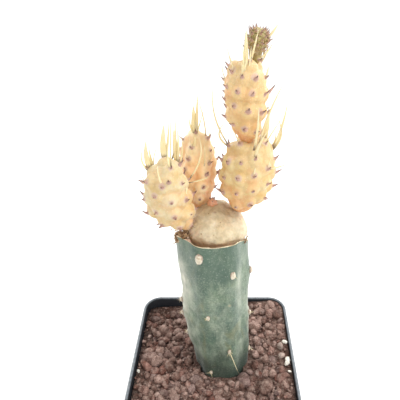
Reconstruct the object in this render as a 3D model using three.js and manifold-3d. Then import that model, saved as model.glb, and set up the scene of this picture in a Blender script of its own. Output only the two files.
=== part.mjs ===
// Potted variegated paper spine cactus, grafted on a green rootstock.
// Millimetres, +Z up, +X to the right and +Y away from the viewer. The origin is the middle of the
// pot's base. The plant stands in a plain hole in the soil and gravel of a square plastic pot.

import * as THREE from 'three';
import { mergeVertices } from 'three/addons/utils/BufferGeometryUtils.js';
import Module from 'manifold-3d';

const wasm = await Module();
wasm.setup();

// Clearance between pieces that touch, and the distance below which two points are one
const GAP = 0.3;
const WELD = 1e-3;

// Pot: a tapered square box with rounded corners, a collar under the rim, feet and drain holes
const POT = {
  height: 80,
  rimHalf: 40,
  collarHalf: 39.4,
  collarDepth: 9,
  shoulderHalf: 38,
  baseHalf: 28,
  corner: 9,
  lip: 1.4,
  wall: 1.4,
  floorUnder: 1.6,
  floorTop: 4,
  drainRadius: 3,
  drainPlace: 14,
  footRadius: 5,
  footPlace: 20,
  padRadius: 8,
};
const CORNER_STEPS = 4;
const COLLAR_STEP = 0.5;

// Soil and gravel: the gravel lies lowest round the rootstock and in a dip at the back left, and is
// heaped up against the left and right walls
const FILL = {
  soilTop: 67,
  level: 74.5,
  riseRight: 0.035,
  riseBack: 0.03,
  heap: 3.2,
  dip: 3.4,
  dipPlace: [-28, 38],
  dipReach: 16,
  bedDepth: 1.6,
  bedRings: [1, 0.66, 0.33],
};
const STONE = {
  spacing: 7,
  radius: 3.8,
  sizes: [0.85, 1.15],
  widths: [0.9, 1.2],
  depths: [0.85, 1.05],
  heights: [0.75, 0.95],
  sink: 1.7,
  jitter: 0.35,
  wallMargin: 0.4,
  seed: 4127,
};

// Rootstock: a ribbed column that leans left and back, cut off by a face that falls to the back.
// A rise of the lip above that face is a row of turn, height and reach around.
const STOCK = {
  foot: [5.8, 4.5, 55],
  cut: [1.5, 10, 145],
  footRadius: 13,
  cutRadius: 15,
  cutSlope: 0.5,
  around: 35,
  ribs: 7,
  ribDepth: 0.55,
  ribTurn: -111,
  ribTwist: 0.2,
  twistFrom: 130,
  lipInner: 0.965,
  ledge: 0.93,
  ledgeDepth: 0.9,
  lipHeight: 0.35,
  rises: [[-152, 4.4, 38], [-40, 1.9, 30]],
  steps: 9,
};
const HOLE = { sides: 32, depthShare: 0.3 };
// Heights of the areoles on each rib, from the rib at the front left on and round by the right
const AREOLE_HEIGHTS = [
  [148, 115, 77],
  [138, 93],
  [131, 107, 84],
  [136, 118, 97],
  [133, 112, 86],
  [128, 104, 82],
  [116, 107.5, 93.5],
];
// How far each of them stands aside of its rib's crest, in degrees
const AREOLE_ASIDE = [
  [0, 9, 8],
  [-1, -6],
  [0, 0, 0],
  [0, 4, -3],
  [3, 0, -4],
  [-3, 2, 0],
  [0, 0, 0],
];
const AREOLE = {
  radius: 1.9,
  sunk: 0.6,
  spine: 3.2,
  longSpine: 10,
  longRib: 1,
  longBelow: 100,
  spineRadius: 0.35,
  spineOut: 0.5,
  spineAside: 0.25,
  spineDown: 0.95,
};

// Scion base: a leaning globe on a narrower waist where it has grown on to the cut face
const SCION = {
  lean: [2.1, 2.5],
  height: 17,
  radius: 12.7,
  waist: 11.3,
  waistHeight: 1.4,
  shoulder: 2.6,
  fullness: 2.3,
  levelling: 1.2,
  around: 30,
  steps: 7,
};

// Stem segments: egg-shaped bodies from base to top with tubercles on a spiral. Each areole is one
// divergence angle on from the last, between the lowest and the highest level. A level runs from
// -1 at the base over 0 at the widest place to 1 at the top. The middle line bows by the bend, the
// taper narrows the lower half, and a low crown flattens the top. A paper spine is a row of turn,
// level, reach to the right, away and up, width, and bow to the right.
const SEGMENTS = {
  segment_left: {
    base: [-9.4, 8, 154.5],
    top: [-14, -1, 187],
    bend: [-2.6, 0],
    radius: 8.6,
    wide: 0.52,
    taper: 1.35,
    crown: 0.6,
    detail: 5,
    spiral: { count: 34, lowest: -0.77, highest: 0.98, divergence: 80.24, start: 322.5 },
    papers: [
      [90, 0.95, 1.3, -0.9, 14.7, 1.8, -0.5],
      [49, 0.7, 0.1, 0, 15.1, 1.6, -0.1],
      [49, 0.7, 1.2, 0, 15.8, 1, 0.5],
      [153, 0.84, -0.1, 0, 12, 1.6, -0.8],
      [-90, 0.79, -0.6, -2.3, 9.8, 0.8, -0.5],
      [15, 0.34, 5.6, -1.5, 19.2, 1, 2.6],
      [30, 0.81, 1.6, 0, 11.7, 0.7, 0.8],
    ],
    colour: '#e8cf92',
  },
  segment_back: {
    base: [-4, 17, 156],
    top: [-3.3, 21, 190.5],
    bend: [0, 0],
    radius: 6.8,
    wide: 0.56,
    taper: 1.25,
    crown: 0.7,
    detail: 5,
    spiral: { count: 32, lowest: -0.83, highest: 1, divergence: 146.19, start: 52.9 },
    papers: [
      [-95, 0.97, -0.3, -0.7, 12.3, 1.7, -0.3],
      [-95, 0.97, 1.4, 0, 16.5, 1.2, 0],
      [-106, 0.69, 1.2, -2.3, 6.3, 1.2, 0.5],
      [-95, 0.97, -1.9, 0, 7.8, 0.7, -1],
    ],
    colour: '#e9a877',
  },
  segment_right: {
    base: [13.2, 12.5, 159],
    top: [18, 10, 191],
    bend: [0, 0],
    radius: 9.8,
    wide: 0.54,
    taper: 1.2,
    crown: 0.5,
    detail: 6,
    spiral: { count: 42, lowest: -0.64, highest: 0.89, divergence: 97.97, start: 55.1 },
    papers: [
      [178, 0.76, 1.3, -2.2, 11, 0.7, -3.2],
      [178, 0.76, -5.6, 0, 24.3, 0.6, -2.6],
      [30, 0.98, 1.3, -2.2, 14.2, 1.3, 0.7],
      [-66, 0.98, 7.7, -1.5, 24.6, 0.8, -1.1],
      [6, 0.79, 1.6, 0, 12.5, 0.9, 2.2],
      [3, 0.79, 4.8, 1.5, 18.3, 0.9, 0.7],
      [-84, 0.8, 3.5, -3, 11.9, 1, -0.7],
      [-50, 0.54, 7.2, 0, 2, 0.6, 0.8],
    ],
    colour: '#e3b878',
  },
  segment_upper: {
    base: [15.8, 10.5, 190],
    top: [14.6, 10, 219.7],
    bend: [0, 0],
    radius: 6.8,
    wide: 0.6,
    taper: 1.2,
    crown: 0.5,
    detail: 5,
    spiral: { count: 38, lowest: -0.72, highest: 0.9, divergence: 161.28, start: 336.8 },
    papers: [
      [-90, 0.84, 0, 0, 12.5, 1.3, 0],
      [-72, 0.96, 2.6, -2.3, 11.2, 0.7, 0.1],
      [-101, 0.71, -0.1, 0, 10.4, 0.6, 0.3],
    ],
    colour: '#e6a868',
  },
  shoot_tip: {
    base: [17.5, 10.5, 218.3],
    top: [19.1, 12, 229.4],
    bend: [0, 0],
    radius: 3,
    wide: 0.66,
    taper: 1,
    crown: 0.75,
    detail: 3,
    spiral: { count: 20, lowest: -0.2, highest: 0.95, divergence: 137.51, start: 20 },
    papers: [[5, 0.3, 3.4, 0, 4.2, 0.7, 0.3]],
    colour: '#5f5c3c',
  },
};
const TUBERCLE = { height: 0.8, reach: 3.4, smallest: 0.3 };
const LEAF = { radius: 0.75, length: 3.4, proud: 2.1, upward: 0.6 };
const PAPER = {
  thickness: 0.6,
  root: 1.2,
  widths: [0.9, 1, 0.45],
  flat: new THREE.Vector3(0.1, -0.9, 0.4),
  bends: [0, 1.5, -1.5, 3, -3, 4.5, -4.5],
  backLength: 10,
  backWidth: 1.2,
  backLevel: 0.25,
  backSide: 0.35,
  backReach: 2.5,
};

// New bud on the scion base, and the dried bits beside the cut face
const BUD = {
  place: [2.2, 12.8, 161.2],
  radius: 2,
  height: 3.8,
  leafRoots: [[0.25, 0.1], [-0.35, 0.2], [0.1, -0.4]],
  leafFoot: 2,
  leafHeight: 3.4,
  leafSpread: 4,
  leafRadius: 0.45,
};
const TUFT = { place: [-10.8, 5.5, 151.6], radius: 2.8, spread: 2.8, lumps: 6, seed: 88 };

const TAU = 2 * Math.PI;
const radians = THREE.MathUtils.degToRad;
const vector = (x, y, z) => new THREE.Vector3(x, y, z);

// Repeatable random draw between 0 and 1
function seededDraw(seed) {
  let state = seed;
  return () => {
    state = (state * 16807) % 2147483647;
    return state / 2147483647;
  };
}

// Closed surface through rings with the same number of points, counterclockwise from above
function loft(rings) {
  const count = rings[0].length;
  const last = rings.length - 1;
  const points = rings.flat();
  const index = [];
  for (let row = 0; row < last; row++) {
    for (let k = 0; k < count; k++) {
      const a = row * count + k;
      const b = row * count + ((k + 1) % count);
      index.push(a, b, b + count, a, b + count, a + count);
    }
  }
  for (const [row, up] of [[0, false], [last, true]]) {
    const middle = points.length;
    const sum = rings[row].reduce((total, point) => total.add(point), vector(0, 0, 0));
    points.push(sum.divideScalar(count));
    for (let k = 0; k < count; k++) {
      const a = row * count + k;
      const b = row * count + ((k + 1) % count);
      index.push(middle, up ? a : b, up ? b : a);
    }
  }
  const geometry = new THREE.BufferGeometry().setFromPoints(points);
  geometry.setIndex(index);
  return geometry;
}

// Solid of a closed geometry, with its shared points joined and flat triangles dropped
function toSolid(geometry) {
  const bare = new THREE.BufferGeometry();
  bare.setAttribute('position', geometry.getAttribute('position'));
  if (geometry.index) bare.setIndex(geometry.index);
  const merged = mergeVertices(bare, WELD);
  const corners = merged.index.array;
  const triangles = [];
  for (let k = 0; k < corners.length; k += 3) {
    const [a, b, c] = corners.slice(k, k + 3);
    if (a !== b && b !== c && c !== a) triangles.push(a, b, c);
  }
  const vertProperties = Float32Array.from(merged.getAttribute('position').array);
  const triVerts = Uint32Array.from(triangles);
  return new wasm.Manifold(new wasm.Mesh({ numProp: 3, vertProperties, triVerts }));
}

function toMesh(name, solid, colour, roughness = 0.7) {
  const { vertProperties, triVerts } = solid.getMesh();
  const geometry = new THREE.BufferGeometry();
  geometry.setAttribute('position', new THREE.BufferAttribute(Float32Array.from(vertProperties), 3));
  geometry.setIndex(new THREE.BufferAttribute(Uint32Array.from(triVerts), 1));
  geometry.computeVertexNormals();
  const material = new THREE.MeshStandardMaterial({ color: colour, roughness, flatShading: true });
  const mesh = new THREE.Mesh(geometry, material);
  mesh.name = name;
  return mesh;
}

const joined = (solids) => solids.reduce((whole, solid) => whole.add(solid));

// Ring of a square with rounded corners at one height
function squareRing(half, corner, z) {
  const points = [];
  for (let quarter = 0; quarter < 4; quarter++) {
    const diagonal = TAU * (quarter / 4 + 1 / 8);
    const x = Math.sign(Math.cos(diagonal)) * (half - corner);
    const y = Math.sign(Math.sin(diagonal)) * (half - corner);
    for (let k = 0; k <= CORNER_STEPS; k++) {
      const turn = TAU / 4 * (quarter + k / CORNER_STEPS);
      points.push(vector(x + corner * Math.cos(turn), y + corner * Math.sin(turn), z));
    }
  }
  return points;
}

// Half width of the pot's outside and inside at one height
function outerHalf(z) {
  const share = (z - POT.floorUnder) / (POT.height - POT.collarDepth - POT.floorUnder);
  return THREE.MathUtils.lerp(POT.baseHalf, POT.shoulderHalf, share);
}
const collarFoot = POT.height - POT.collarDepth;
const collarInner = POT.rimHalf - POT.lip;
function innerHalf(z) {
  return z > collarFoot + POT.wall ? collarInner : outerHalf(Math.min(z, collarFoot)) - POT.wall;
}
const outerRing = (half, z) => squareRing(half, POT.corner, z);
const innerRing = (half, z) => squareRing(half, POT.corner - POT.wall, z);

function cylinder(radius, bottom, top, x, y, sides = 12) {
  const geometry = new THREE.CylinderGeometry(radius, radius, top - bottom, sides);
  geometry.rotateX(TAU / 4);
  geometry.translate(x, y, (bottom + top) / 2);
  return toSolid(geometry);
}

function buildPot() {
  const { height, rimHalf, collarHalf, baseHalf, wall, floorUnder, floorTop } = POT;
  let pot = toSolid(loft([
    outerRing(baseHalf - 1, floorUnder),
    outerRing(baseHalf, floorUnder + 1.5),
    outerRing(outerHalf(collarFoot), collarFoot),
    outerRing(collarHalf, collarFoot + COLLAR_STEP),
    outerRing(rimHalf - 0.3, height - 1.4),
    outerRing(rimHalf, height - 0.9),
    outerRing(rimHalf - 0.4, height),
    innerRing(collarInner + 0.4, height),
    innerRing(collarInner, height - 0.8),
    innerRing(collarInner, collarFoot + wall + COLLAR_STEP),
    innerRing(innerHalf(collarFoot), collarFoot - COLLAR_STEP),
    innerRing(innerHalf(floorTop), floorTop),
  ]));
  for (let quarter = 0; quarter < 4; quarter++) {
    const [x, y] = [Math.cos(TAU * quarter / 4), Math.sin(TAU * quarter / 4)];
    const place = [POT.footPlace * (x - y), POT.footPlace * (x + y)];
    const foot = cylinder(POT.footRadius, 0, floorUnder + 1, ...place);
    const drain = cylinder(POT.drainRadius, -1, floorTop + 1, POT.drainPlace * x, POT.drainPlace * y);
    pot = pot.add(foot).subtract(drain);
  }
  return pot.add(cylinder(POT.padRadius, 0, floorUnder + 1, 0, 0, 24));
}

// Point on the line through the middle of the rootstock
const stockFoot = vector(...STOCK.foot);
const stockCut = vector(...STOCK.cut);
const stockMiddle = (share) => stockFoot.clone().lerp(stockCut, share);
const stockRadius = (share) => THREE.MathUtils.lerp(STOCK.footRadius, STOCK.cutRadius, share);

// How far the lip curls up above the plane of the cut face
function lipRise(turn) {
  return STOCK.rises.reduce((sum, [middle, height, reach]) => {
    const off = THREE.MathUtils.euclideanModulo(turn - radians(middle) + Math.PI, TAU) - Math.PI;
    return sum + height * Math.exp(-((off / radians(reach)) ** 2));
  }, 0);
}

// Ring of the rootstock: its plane tips towards the slope of the cut face as it rises
function stockRing(share, scale, lift = 0, ribbed = 1, grow = 0, risen = 0) {
  const middle = stockMiddle(share);
  const slope = STOCK.cutSlope * share ** 3;
  const twist = radians(STOCK.ribTurn + STOCK.ribTwist * (middle.z - STOCK.twistFrom));
  return Array.from({ length: STOCK.around }, (_, k) => {
    const turn = TAU * k / STOCK.around;
    const rib = ribbed * STOCK.ribDepth * Math.cos(STOCK.ribs * turn);
    const reach = stockRadius(share) * scale + rib + grow;
    const x = reach * Math.cos(turn + twist);
    const y = reach * Math.sin(turn + twist);
    const rise = risen * lipRise(turn + twist);
    return vector(middle.x + x, middle.y + y, middle.z + lift + rise - slope * y);
  });
}

function stockBody(grow = 0) {
  const rings = [
    stockRing(0, 0.8, -grow, 0, grow),
    stockRing(0.02, 0.93, 0, 0, grow),
    stockRing(0.06, 1, 0, 0.4, grow),
  ];
  for (let k = 1; k <= STOCK.steps; k++) {
    rings.push(stockRing(0.06 + 0.94 * k / STOCK.steps, 1, 0, 1, grow, k === STOCK.steps ? 1 : 0));
  }
  rings.push(stockRing(1, STOCK.lipInner, STOCK.lipHeight + grow, 0.7, -grow, 1));
  rings.push(stockRing(1, STOCK.ledge, -STOCK.ledgeDepth + grow, 0.3, -grow));
  rings.push(stockRing(1, 0.5, -STOCK.ledgeDepth + grow, 0));
  return toSolid(loft(rings));
}

// Three-sided needle with its root at one point
function needle(from, to, radius) {
  const along = to.clone().sub(from);
  const geometry = new THREE.ConeGeometry(radius, along.length(), 3);
  geometry.translate(0, along.length() / 2, 0);
  const turned = new THREE.Quaternion().setFromUnitVectors(vector(0, 1, 0), along.normalize());
  geometry.applyQuaternion(turned);
  geometry.translate(from.x, from.y, from.z);
  return toSolid(geometry);
}

// Rough lump with few faces, flattened after it is turned
function lump(middle, radius, scale = vector(1, 1, 1), turn = 0, Shape = THREE.OctahedronGeometry) {
  const geometry = new Shape(radius);
  geometry.rotateX(turn);
  geometry.rotateZ(turn);
  geometry.scale(scale.x, scale.y, scale.z);
  geometry.translate(middle.x, middle.y, middle.z);
  return toSolid(geometry);
}

// Places of the areoles on the ribs of the rootstock, with the way that each one faces
function stockAreoles() {
  const places = [];
  AREOLE_HEIGHTS.forEach((heights, rib) => {
    heights.forEach((z, k) => {
      const share = (z - stockFoot.z) / (stockCut.z - stockFoot.z);
      const twist = STOCK.ribTurn + STOCK.ribTwist * (z - STOCK.twistFrom);
      const aside = AREOLE_ASIDE[rib][k];
      const turn = radians(twist + aside + 360 * rib / STOCK.ribs);
      const radius = stockRadius(Math.min(share, 1));
      const out = vector(Math.cos(turn), Math.sin(turn), 0);
      const edge = stockCut.z - STOCK.cutSlope * radius * out.y;
      if (z > edge - 2 * AREOLE.radius) return;
      const middle = stockMiddle(Math.min(share, 1));
      middle.z = z;
      const long = rib === AREOLE.longRib && z < AREOLE.longBelow;
      places.push({ place: middle.addScaledVector(out, radius + STOCK.ribDepth), out, long });
    });
  });
  return places;
}

function buildRootstock() {
  const pieces = [stockBody()];
  for (const { place, out, long } of stockAreoles()) {
    const aside = vector(-out.y, out.x, 0);
    const root = place.clone().addScaledVector(out, -AREOLE.sunk);
    pieces.push(lump(root, AREOLE.radius, vector(0.9, 0.9, 1.1)));
    const reach = long ? AREOLE.longSpine : AREOLE.spine;
    const tip = place.clone().addScaledVector(out, reach * AREOLE.spineOut);
    tip.addScaledVector(aside, reach * AREOLE.spineAside);
    tip.setZ(tip.z - reach * AREOLE.spineDown);
    pieces.push(needle(root, tip, AREOLE.spineRadius));
  }
  return joined(pieces);
}

// Plain round hole for the rootstock, a little wider than its ribs
function stockHole() {
  const rings = [0, HOLE.depthShare].map((share) => {
    const middle = stockMiddle(share);
    const radius = stockRadius(share) + STOCK.ribDepth + 1.2 * GAP;
    const z = share === 0 ? middle.z - GAP : middle.z;
    return Array.from({ length: HOLE.sides }, (_, k) => {
      const turn = TAU * k / HOLE.sides;
      return vector(middle.x + radius * Math.cos(turn), middle.y + radius * Math.sin(turn), z);
    });
  });
  return toSolid(loft(rings));
}

function buildSoil() {
  const bottom = POT.floorTop + GAP;
  return toSolid(loft([
    innerRing(innerHalf(bottom) - GAP, bottom),
    innerRing(innerHalf(FILL.soilTop) - GAP, FILL.soilTop),
  ])).subtract(stockHole());
}

function gravelLevel(x, y) {
  const [dipX, dipY] = FILL.dipPlace;
  const heaped = FILL.heap * (x / collarInner) ** 2;
  const dipped = FILL.dip * Math.exp(-((x - dipX) ** 2 + (y - dipY) ** 2) / FILL.dipReach ** 2);
  return FILL.level + FILL.riseRight * x + FILL.riseBack * y + heaped - dipped;
}

// Gravel: a bed whose top follows the level, with stones in staggered rows sunk into it
function buildGravel() {
  const draw = seededDraw(STONE.seed);
  const within = ([low, high]) => THREE.MathUtils.lerp(low, high, draw());
  const bottom = FILL.soilTop + GAP;
  const wide = collarInner - GAP;
  const tops = FILL.bedRings.map((share) => innerRing(wide, 0).map(({ x, y }) => (
    vector(x * share, y * share, gravelLevel(x * share, y * share) - FILL.bedDepth)
  )));
  const bed = toSolid(loft([innerRing(wide, bottom), ...tops]));
  const stones = [];
  const rowStep = STONE.spacing * Math.sqrt(3) / 2;
  const reach = wide - STONE.radius + STONE.wallMargin;
  const rows = Math.floor(reach / rowStep);
  const columns = Math.ceil(wide / STONE.spacing);
  for (let row = -rows; row <= rows; row++) {
    const shift = row % 2 === 0 ? 0 : 0.5;
    for (let k = -columns; k <= columns; k++) {
      const x = (k + shift + (draw() - 0.5) * STONE.jitter) * STONE.spacing;
      const y = (row + (draw() - 0.5) * STONE.jitter) * rowStep;
      const size = STONE.radius * within(STONE.sizes);
      const scale = vector(within(STONE.widths), within(STONE.depths), within(STONE.heights));
      const z = gravelLevel(x, y) - STONE.sink + (draw() - 0.5) * 2 * STONE.jitter;
      const turn = TAU * draw();
      if (Math.abs(x) > reach + STONE.spacing / 2) continue;
      const place = vector(THREE.MathUtils.clamp(x, -reach, reach), y, z);
      stones.push(lump(place, size, scale, turn, THREE.IcosahedronGeometry));
    }
  }
  const inside = toSolid(loft([
    innerRing(innerHalf(bottom) - GAP, bottom),
    innerRing(innerHalf(collarFoot) - GAP, collarFoot - COLLAR_STEP),
    innerRing(wide, collarFoot + POT.wall + COLLAR_STEP),
    innerRing(wide, POT.height),
  ]));
  return joined([bed, ...stones]).intersect(inside).subtract(stockHole());
}

// Scion base: level rings that start on the cut face's slope and end flat on top
function scionBody(grow = 0) {
  const rings = [];
  const addRing = (height, radius) => {
    const share = THREE.MathUtils.clamp(height / SCION.height, 0, 1);
    const slope = STOCK.cutSlope * (1 - share) ** SCION.levelling;
    const x = stockCut.x + SCION.lean[0];
    const y = stockCut.y + SCION.lean[1] * share;
    rings.push(Array.from({ length: SCION.around }, (_, k) => {
      const turn = TAU * k / SCION.around;
      const reach = radius + grow;
      const across = reach * Math.sin(turn);
      return vector(x + reach * Math.cos(turn), y + across, stockCut.z + height - slope * across);
    }));
  };
  addRing(-STOCK.ledgeDepth + GAP - grow, SCION.waist);
  addRing(SCION.waistHeight, SCION.waist);
  addRing(SCION.shoulder, SCION.radius * 0.99);
  for (let k = 1; k <= SCION.steps; k++) {
    const share = Math.sin(TAU / 4 * k / (SCION.steps + 0.4));
    const radius = SCION.radius * (1 - share ** SCION.fullness) ** (1 / SCION.fullness);
    addRing(THREE.MathUtils.lerp(SCION.shoulder, SCION.height + grow, share), radius);
  }
  return toSolid(loft(rings));
}

function segmentFrame({ base, top }) {
  const start = vector(...base);
  const along = vector(...top).sub(start);
  const length = along.length();
  along.normalize();
  const right = vector(0, 1, 0).cross(along).normalize();
  const away = along.clone().cross(right);
  return { length, matrix: new THREE.Matrix4().makeBasis(right, away, along).setPosition(start) };
}

// Point of a segment's smooth body in a direction from its middle, before the tubercles
function bodyPoint(segment, length, way) {
  const ring = Math.hypot(way.x, way.y);
  const half = way.z < 0 ? segment.wide : 1 - segment.wide;
  const share = segment.wide + half * way.z;
  const bow = 4 * share * (1 - share);
  const [right, away] = segment.bend;
  const middle = vector(right * bow, away * bow, length * share);
  if (ring < WELD) return middle;
  const reach = segment.radius * ring ** (way.z < 0 ? segment.taper : segment.crown) / ring;
  return middle.add(vector(way.x * reach, way.y * reach, 0));
}

function bodyNormal(segment, length, way) {
  const half = length * (way.z < 0 ? segment.wide : 1 - segment.wide);
  return vector(way.x / segment.radius, way.y / segment.radius, way.z / half).normalize();
}

function wayOf(turn, level) {
  const ring = Math.sqrt(1 - level * level);
  return vector(ring * Math.cos(turn), ring * Math.sin(turn), level);
}

// Directions of a segment's areoles, on a spiral that climbs by equal steps
function areoleWays({ spiral }) {
  return Array.from({ length: spiral.count }, (_, k) => {
    const share = (k + 0.5) / spiral.count;
    const level = THREE.MathUtils.lerp(spiral.lowest, spiral.highest, share);
    return wayOf(radians(spiral.start + spiral.divergence * k), level);
  });
}

// Segment's body: a sphere's points moved on to the egg shape and raised by the nearest tubercle
function segmentBody(segment, grow = 0) {
  const { length, matrix } = segmentFrame(segment);
  const small = Math.max(TUBERCLE.smallest, Math.min(1, segment.radius / 7));
  const areoles = areoleWays(segment).map((way) => bodyPoint(segment, length, way));
  const geometry = new THREE.IcosahedronGeometry(1, segment.detail);
  const position = geometry.getAttribute('position');
  for (let k = 0; k < position.count; k++) {
    const way = new THREE.Vector3().fromBufferAttribute(position, k).normalize();
    const point = bodyPoint(segment, length, way);
    const nearest = Math.min(...areoles.map((areole) => areole.distanceTo(point)));
    const fall = Math.min(1, nearest / (TUBERCLE.reach * small));
    const raised = TUBERCLE.height * small * (0.5 + 0.5 * Math.cos(Math.PI * fall));
    point.addScaledVector(bodyNormal(segment, length, way), raised + grow);
    position.setXYZ(k, point.x, point.y, point.z);
  }
  geometry.applyMatrix4(matrix);
  return toSolid(geometry);
}

// Leaf: a short cone on an areole that points outward and up
function leafOn(segment, way) {
  const { length, matrix } = segmentFrame(segment);
  const small = Math.max(0.6, Math.min(1, segment.radius / 7));
  const geometry = new THREE.ConeGeometry(LEAF.radius * small, LEAF.length * small, 3);
  const normal = bodyNormal(segment, length, way);
  const aim = normal.clone().add(vector(0, 0, LEAF.upward * (1 - Math.max(0, way.z)))).normalize();
  const place = bodyPoint(segment, length, way).addScaledVector(normal, TUBERCLE.height * small);
  place.addScaledVector(aim, (LEAF.proud - LEAF.length / 2) * small);
  geometry.applyQuaternion(new THREE.Quaternion().setFromUnitVectors(vector(0, 1, 0), aim));
  geometry.translate(place.x, place.y, place.z);
  geometry.applyMatrix4(matrix);
  return toSolid(geometry);
}

// Paper spine: a thin tapered ribbon along a curve, rooted in the body. Its flat side faces the
// given way, or outward without one.
function paperSpine(segment, [turn, level, right, away, up, width, bow], flat) {
  const { length, matrix } = segmentFrame(segment);
  const way = wayOf(radians(turn), level);
  const outward = bodyNormal(segment, length, way).transformDirection(matrix);
  const root = bodyPoint(segment, length, way).applyMatrix4(matrix);
  const tip = root.clone().add(vector(right, away, up));
  const bend = root.clone().lerp(tip, 0.5).add(vector(2 * bow, 0, 0));
  const curve = new THREE.QuadraticBezierCurve3(root, bend, tip);
  const rings = PAPER.widths.map((share, k) => {
    const along = k / (PAPER.widths.length - 1);
    const tangent = curve.getTangent(along);
    const point = curve.getPoint(along);
    if (k === 0) point.addScaledVector(tangent, -PAPER.root).addScaledVector(outward, -0.5);
    const aside = tangent.clone().cross(flat ?? outward).normalize();
    const depth = aside.clone().cross(tangent).normalize();
    aside.multiplyScalar(Math.max(PAPER.thickness, width * share) / 2);
    depth.multiplyScalar(PAPER.thickness / 2);
    return [[-1, 1], [1, 1], [1, -1], [-1, -1]].map(([a, b]) =>
      point.clone().addScaledVector(aside, a).addScaledVector(depth, b));
  });
  return toSolid(loft(rings));
}

// Paper spines on the side that faces away, one on every other areole of the upper half
function backPapers(segment) {
  const ways = areoleWays(segment);
  const facing = ways.filter((way) => way.y > PAPER.backSide && way.z > PAPER.backLevel);
  return facing.filter((_, k) => k % 2 === 0).map((way, k) => {
    const turn = THREE.MathUtils.radToDeg(Math.atan2(way.y, way.x));
    const [right, away] = [PAPER.backReach * way.x, PAPER.backReach * way.y];
    const reach = PAPER.backLength * (k % 2 === 0 ? 1 : 0.75);
    return [turn, way.z, right, away, reach, PAPER.backWidth, way.x];
  });
}

const crosses = (piece, others) => others.some((other) => !piece.intersect(other).isEmpty());

// Paper spine bent sideways in growing steps until it is clear of the other pieces
function clearPaper(segment, row, flat, others) {
  for (const aside of PAPER.bends) {
    const bent = [...row];
    bent[2] += aside;
    const piece = paperSpine(segment, bent, flat);
    if (!crosses(piece, others)) return [piece];
  }
  return [];
}

// Whole segment, hollowed at its foot by the piece that it grows from. A leaf that would run into
// another piece doesn't grow.
function buildSegment(name, carrier, others) {
  const segment = SEGMENTS[name];
  const near = [carrier, ...others];
  const leaves = areoleWays(segment).map((way) => leafOn(segment, way));
  const papers = segment.papers.flatMap((row) => clearPaper(segment, row, PAPER.flat, near));
  if (segment.radius > 5) {
    papers.push(...backPapers(segment).flatMap((row) => clearPaper(segment, row, null, near)));
  }
  const grown = [...leaves.filter((leaf) => !crosses(leaf, near)), ...papers];
  return joined([segmentBody(segment), ...grown]).subtract(carrier);
}

function buildBud() {
  const { radius, height, leafSpread, leafHeight } = BUD;
  const profile = [[0, 0], [radius, 0.6], [radius * 0.95, 2], [0.8, height - 0.5], [0, height]];
  const geometry = new THREE.LatheGeometry(profile.map(([r, h]) => new THREE.Vector2(r, h)), 10);
  geometry.rotateX(TAU / 4);
  geometry.translate(...BUD.place);
  const pieces = [toSolid(geometry)];
  for (const [x, y] of BUD.leafRoots) {
    const root = vector(...BUD.place).add(vector(x, y, BUD.leafFoot));
    const tip = root.clone().add(vector(leafSpread * x, leafSpread * y, leafHeight));
    pieces.push(needle(root, tip, BUD.leafRadius));
  }
  return joined(pieces);
}

function buildTuft() {
  const draw = seededDraw(TUFT.seed);
  const middle = vector(...TUFT.place);
  const lumps = [lump(middle, TUFT.radius)];
  for (let k = 0; k < TUFT.lumps; k++) {
    const turn = TAU * k / TUFT.lumps;
    const out = TUFT.spread * (0.6 + 0.4 * draw());
    const rise = draw() * 2 - 0.6;
    const place = middle.clone().add(vector(out * Math.cos(turn), out * Math.sin(turn), rise));
    lumps.push(lump(place, TUFT.radius * (0.5 + 0.4 * draw()), vector(1, 0.8, 1.1), turn));
  }
  return joined(lumps);
}

const potted = new THREE.Group();
potted.add(toMesh('pot', buildPot(), '#20252b', 0.55));
potted.add(toMesh('potting_mix', buildSoil(), '#4a372b', 0.95));
potted.add(toMesh('gravel', buildGravel(), '#9a7263', 0.95));

const plant = new THREE.Group();
const stock = buildRootstock();
const scion = scionBody();
const scionRoom = scionBody(GAP);
const bud = buildBud().subtract(scionRoom);
plant.add(toMesh('rootstock', stock, '#5c8274', 0.6));
plant.add(toMesh('scion_base', scion, '#d9c795'));
plant.add(toMesh('new_bud', bud, '#e08a56'));

// Each segment is kept clear of the bodies of all the others and of what is already built
const rooms = {};
for (const [name, segment] of Object.entries(SEGMENTS)) rooms[name] = segmentBody(segment, GAP);
const carriers = {
  segment_left: scionRoom,
  segment_back: scionRoom,
  segment_right: scionRoom,
  segment_upper: rooms.segment_right,
  shoot_tip: rooms.segment_upper,
};
const built = [bud, stock];
for (const [name, carrier] of Object.entries(carriers)) {
  const bodies = Object.keys(rooms).filter((other) => other !== name).map((other) => rooms[other]);
  const segment = buildSegment(name, carrier, [...bodies, ...built]);
  plant.add(toMesh(name, segment, SEGMENTS[name].colour));
  built.push(segment);
}
const besideTuft = joined([stockBody(GAP), scionRoom, rooms.segment_left]);
const tuft = buildTuft().subtract(besideTuft);
plant.add(toMesh('dried_tuft', tuft, '#7a5a3c', 0.9));
potted.add(plant);

export default potted;
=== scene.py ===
"""Looks of a potted variegated paper spine cactus, grafted on a green rootstock.

Every piece is worked out in millimetres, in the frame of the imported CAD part: +Z up, +X to the
right, +Y away from the viewer, the origin in the middle of the pot's base. The sizes at the top
are those of the CAD part, so that each piece keeps the form of the solid it stands for.
"""

import math

import bmesh
import bpy
import numpy as np
from mathutils import Matrix


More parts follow.
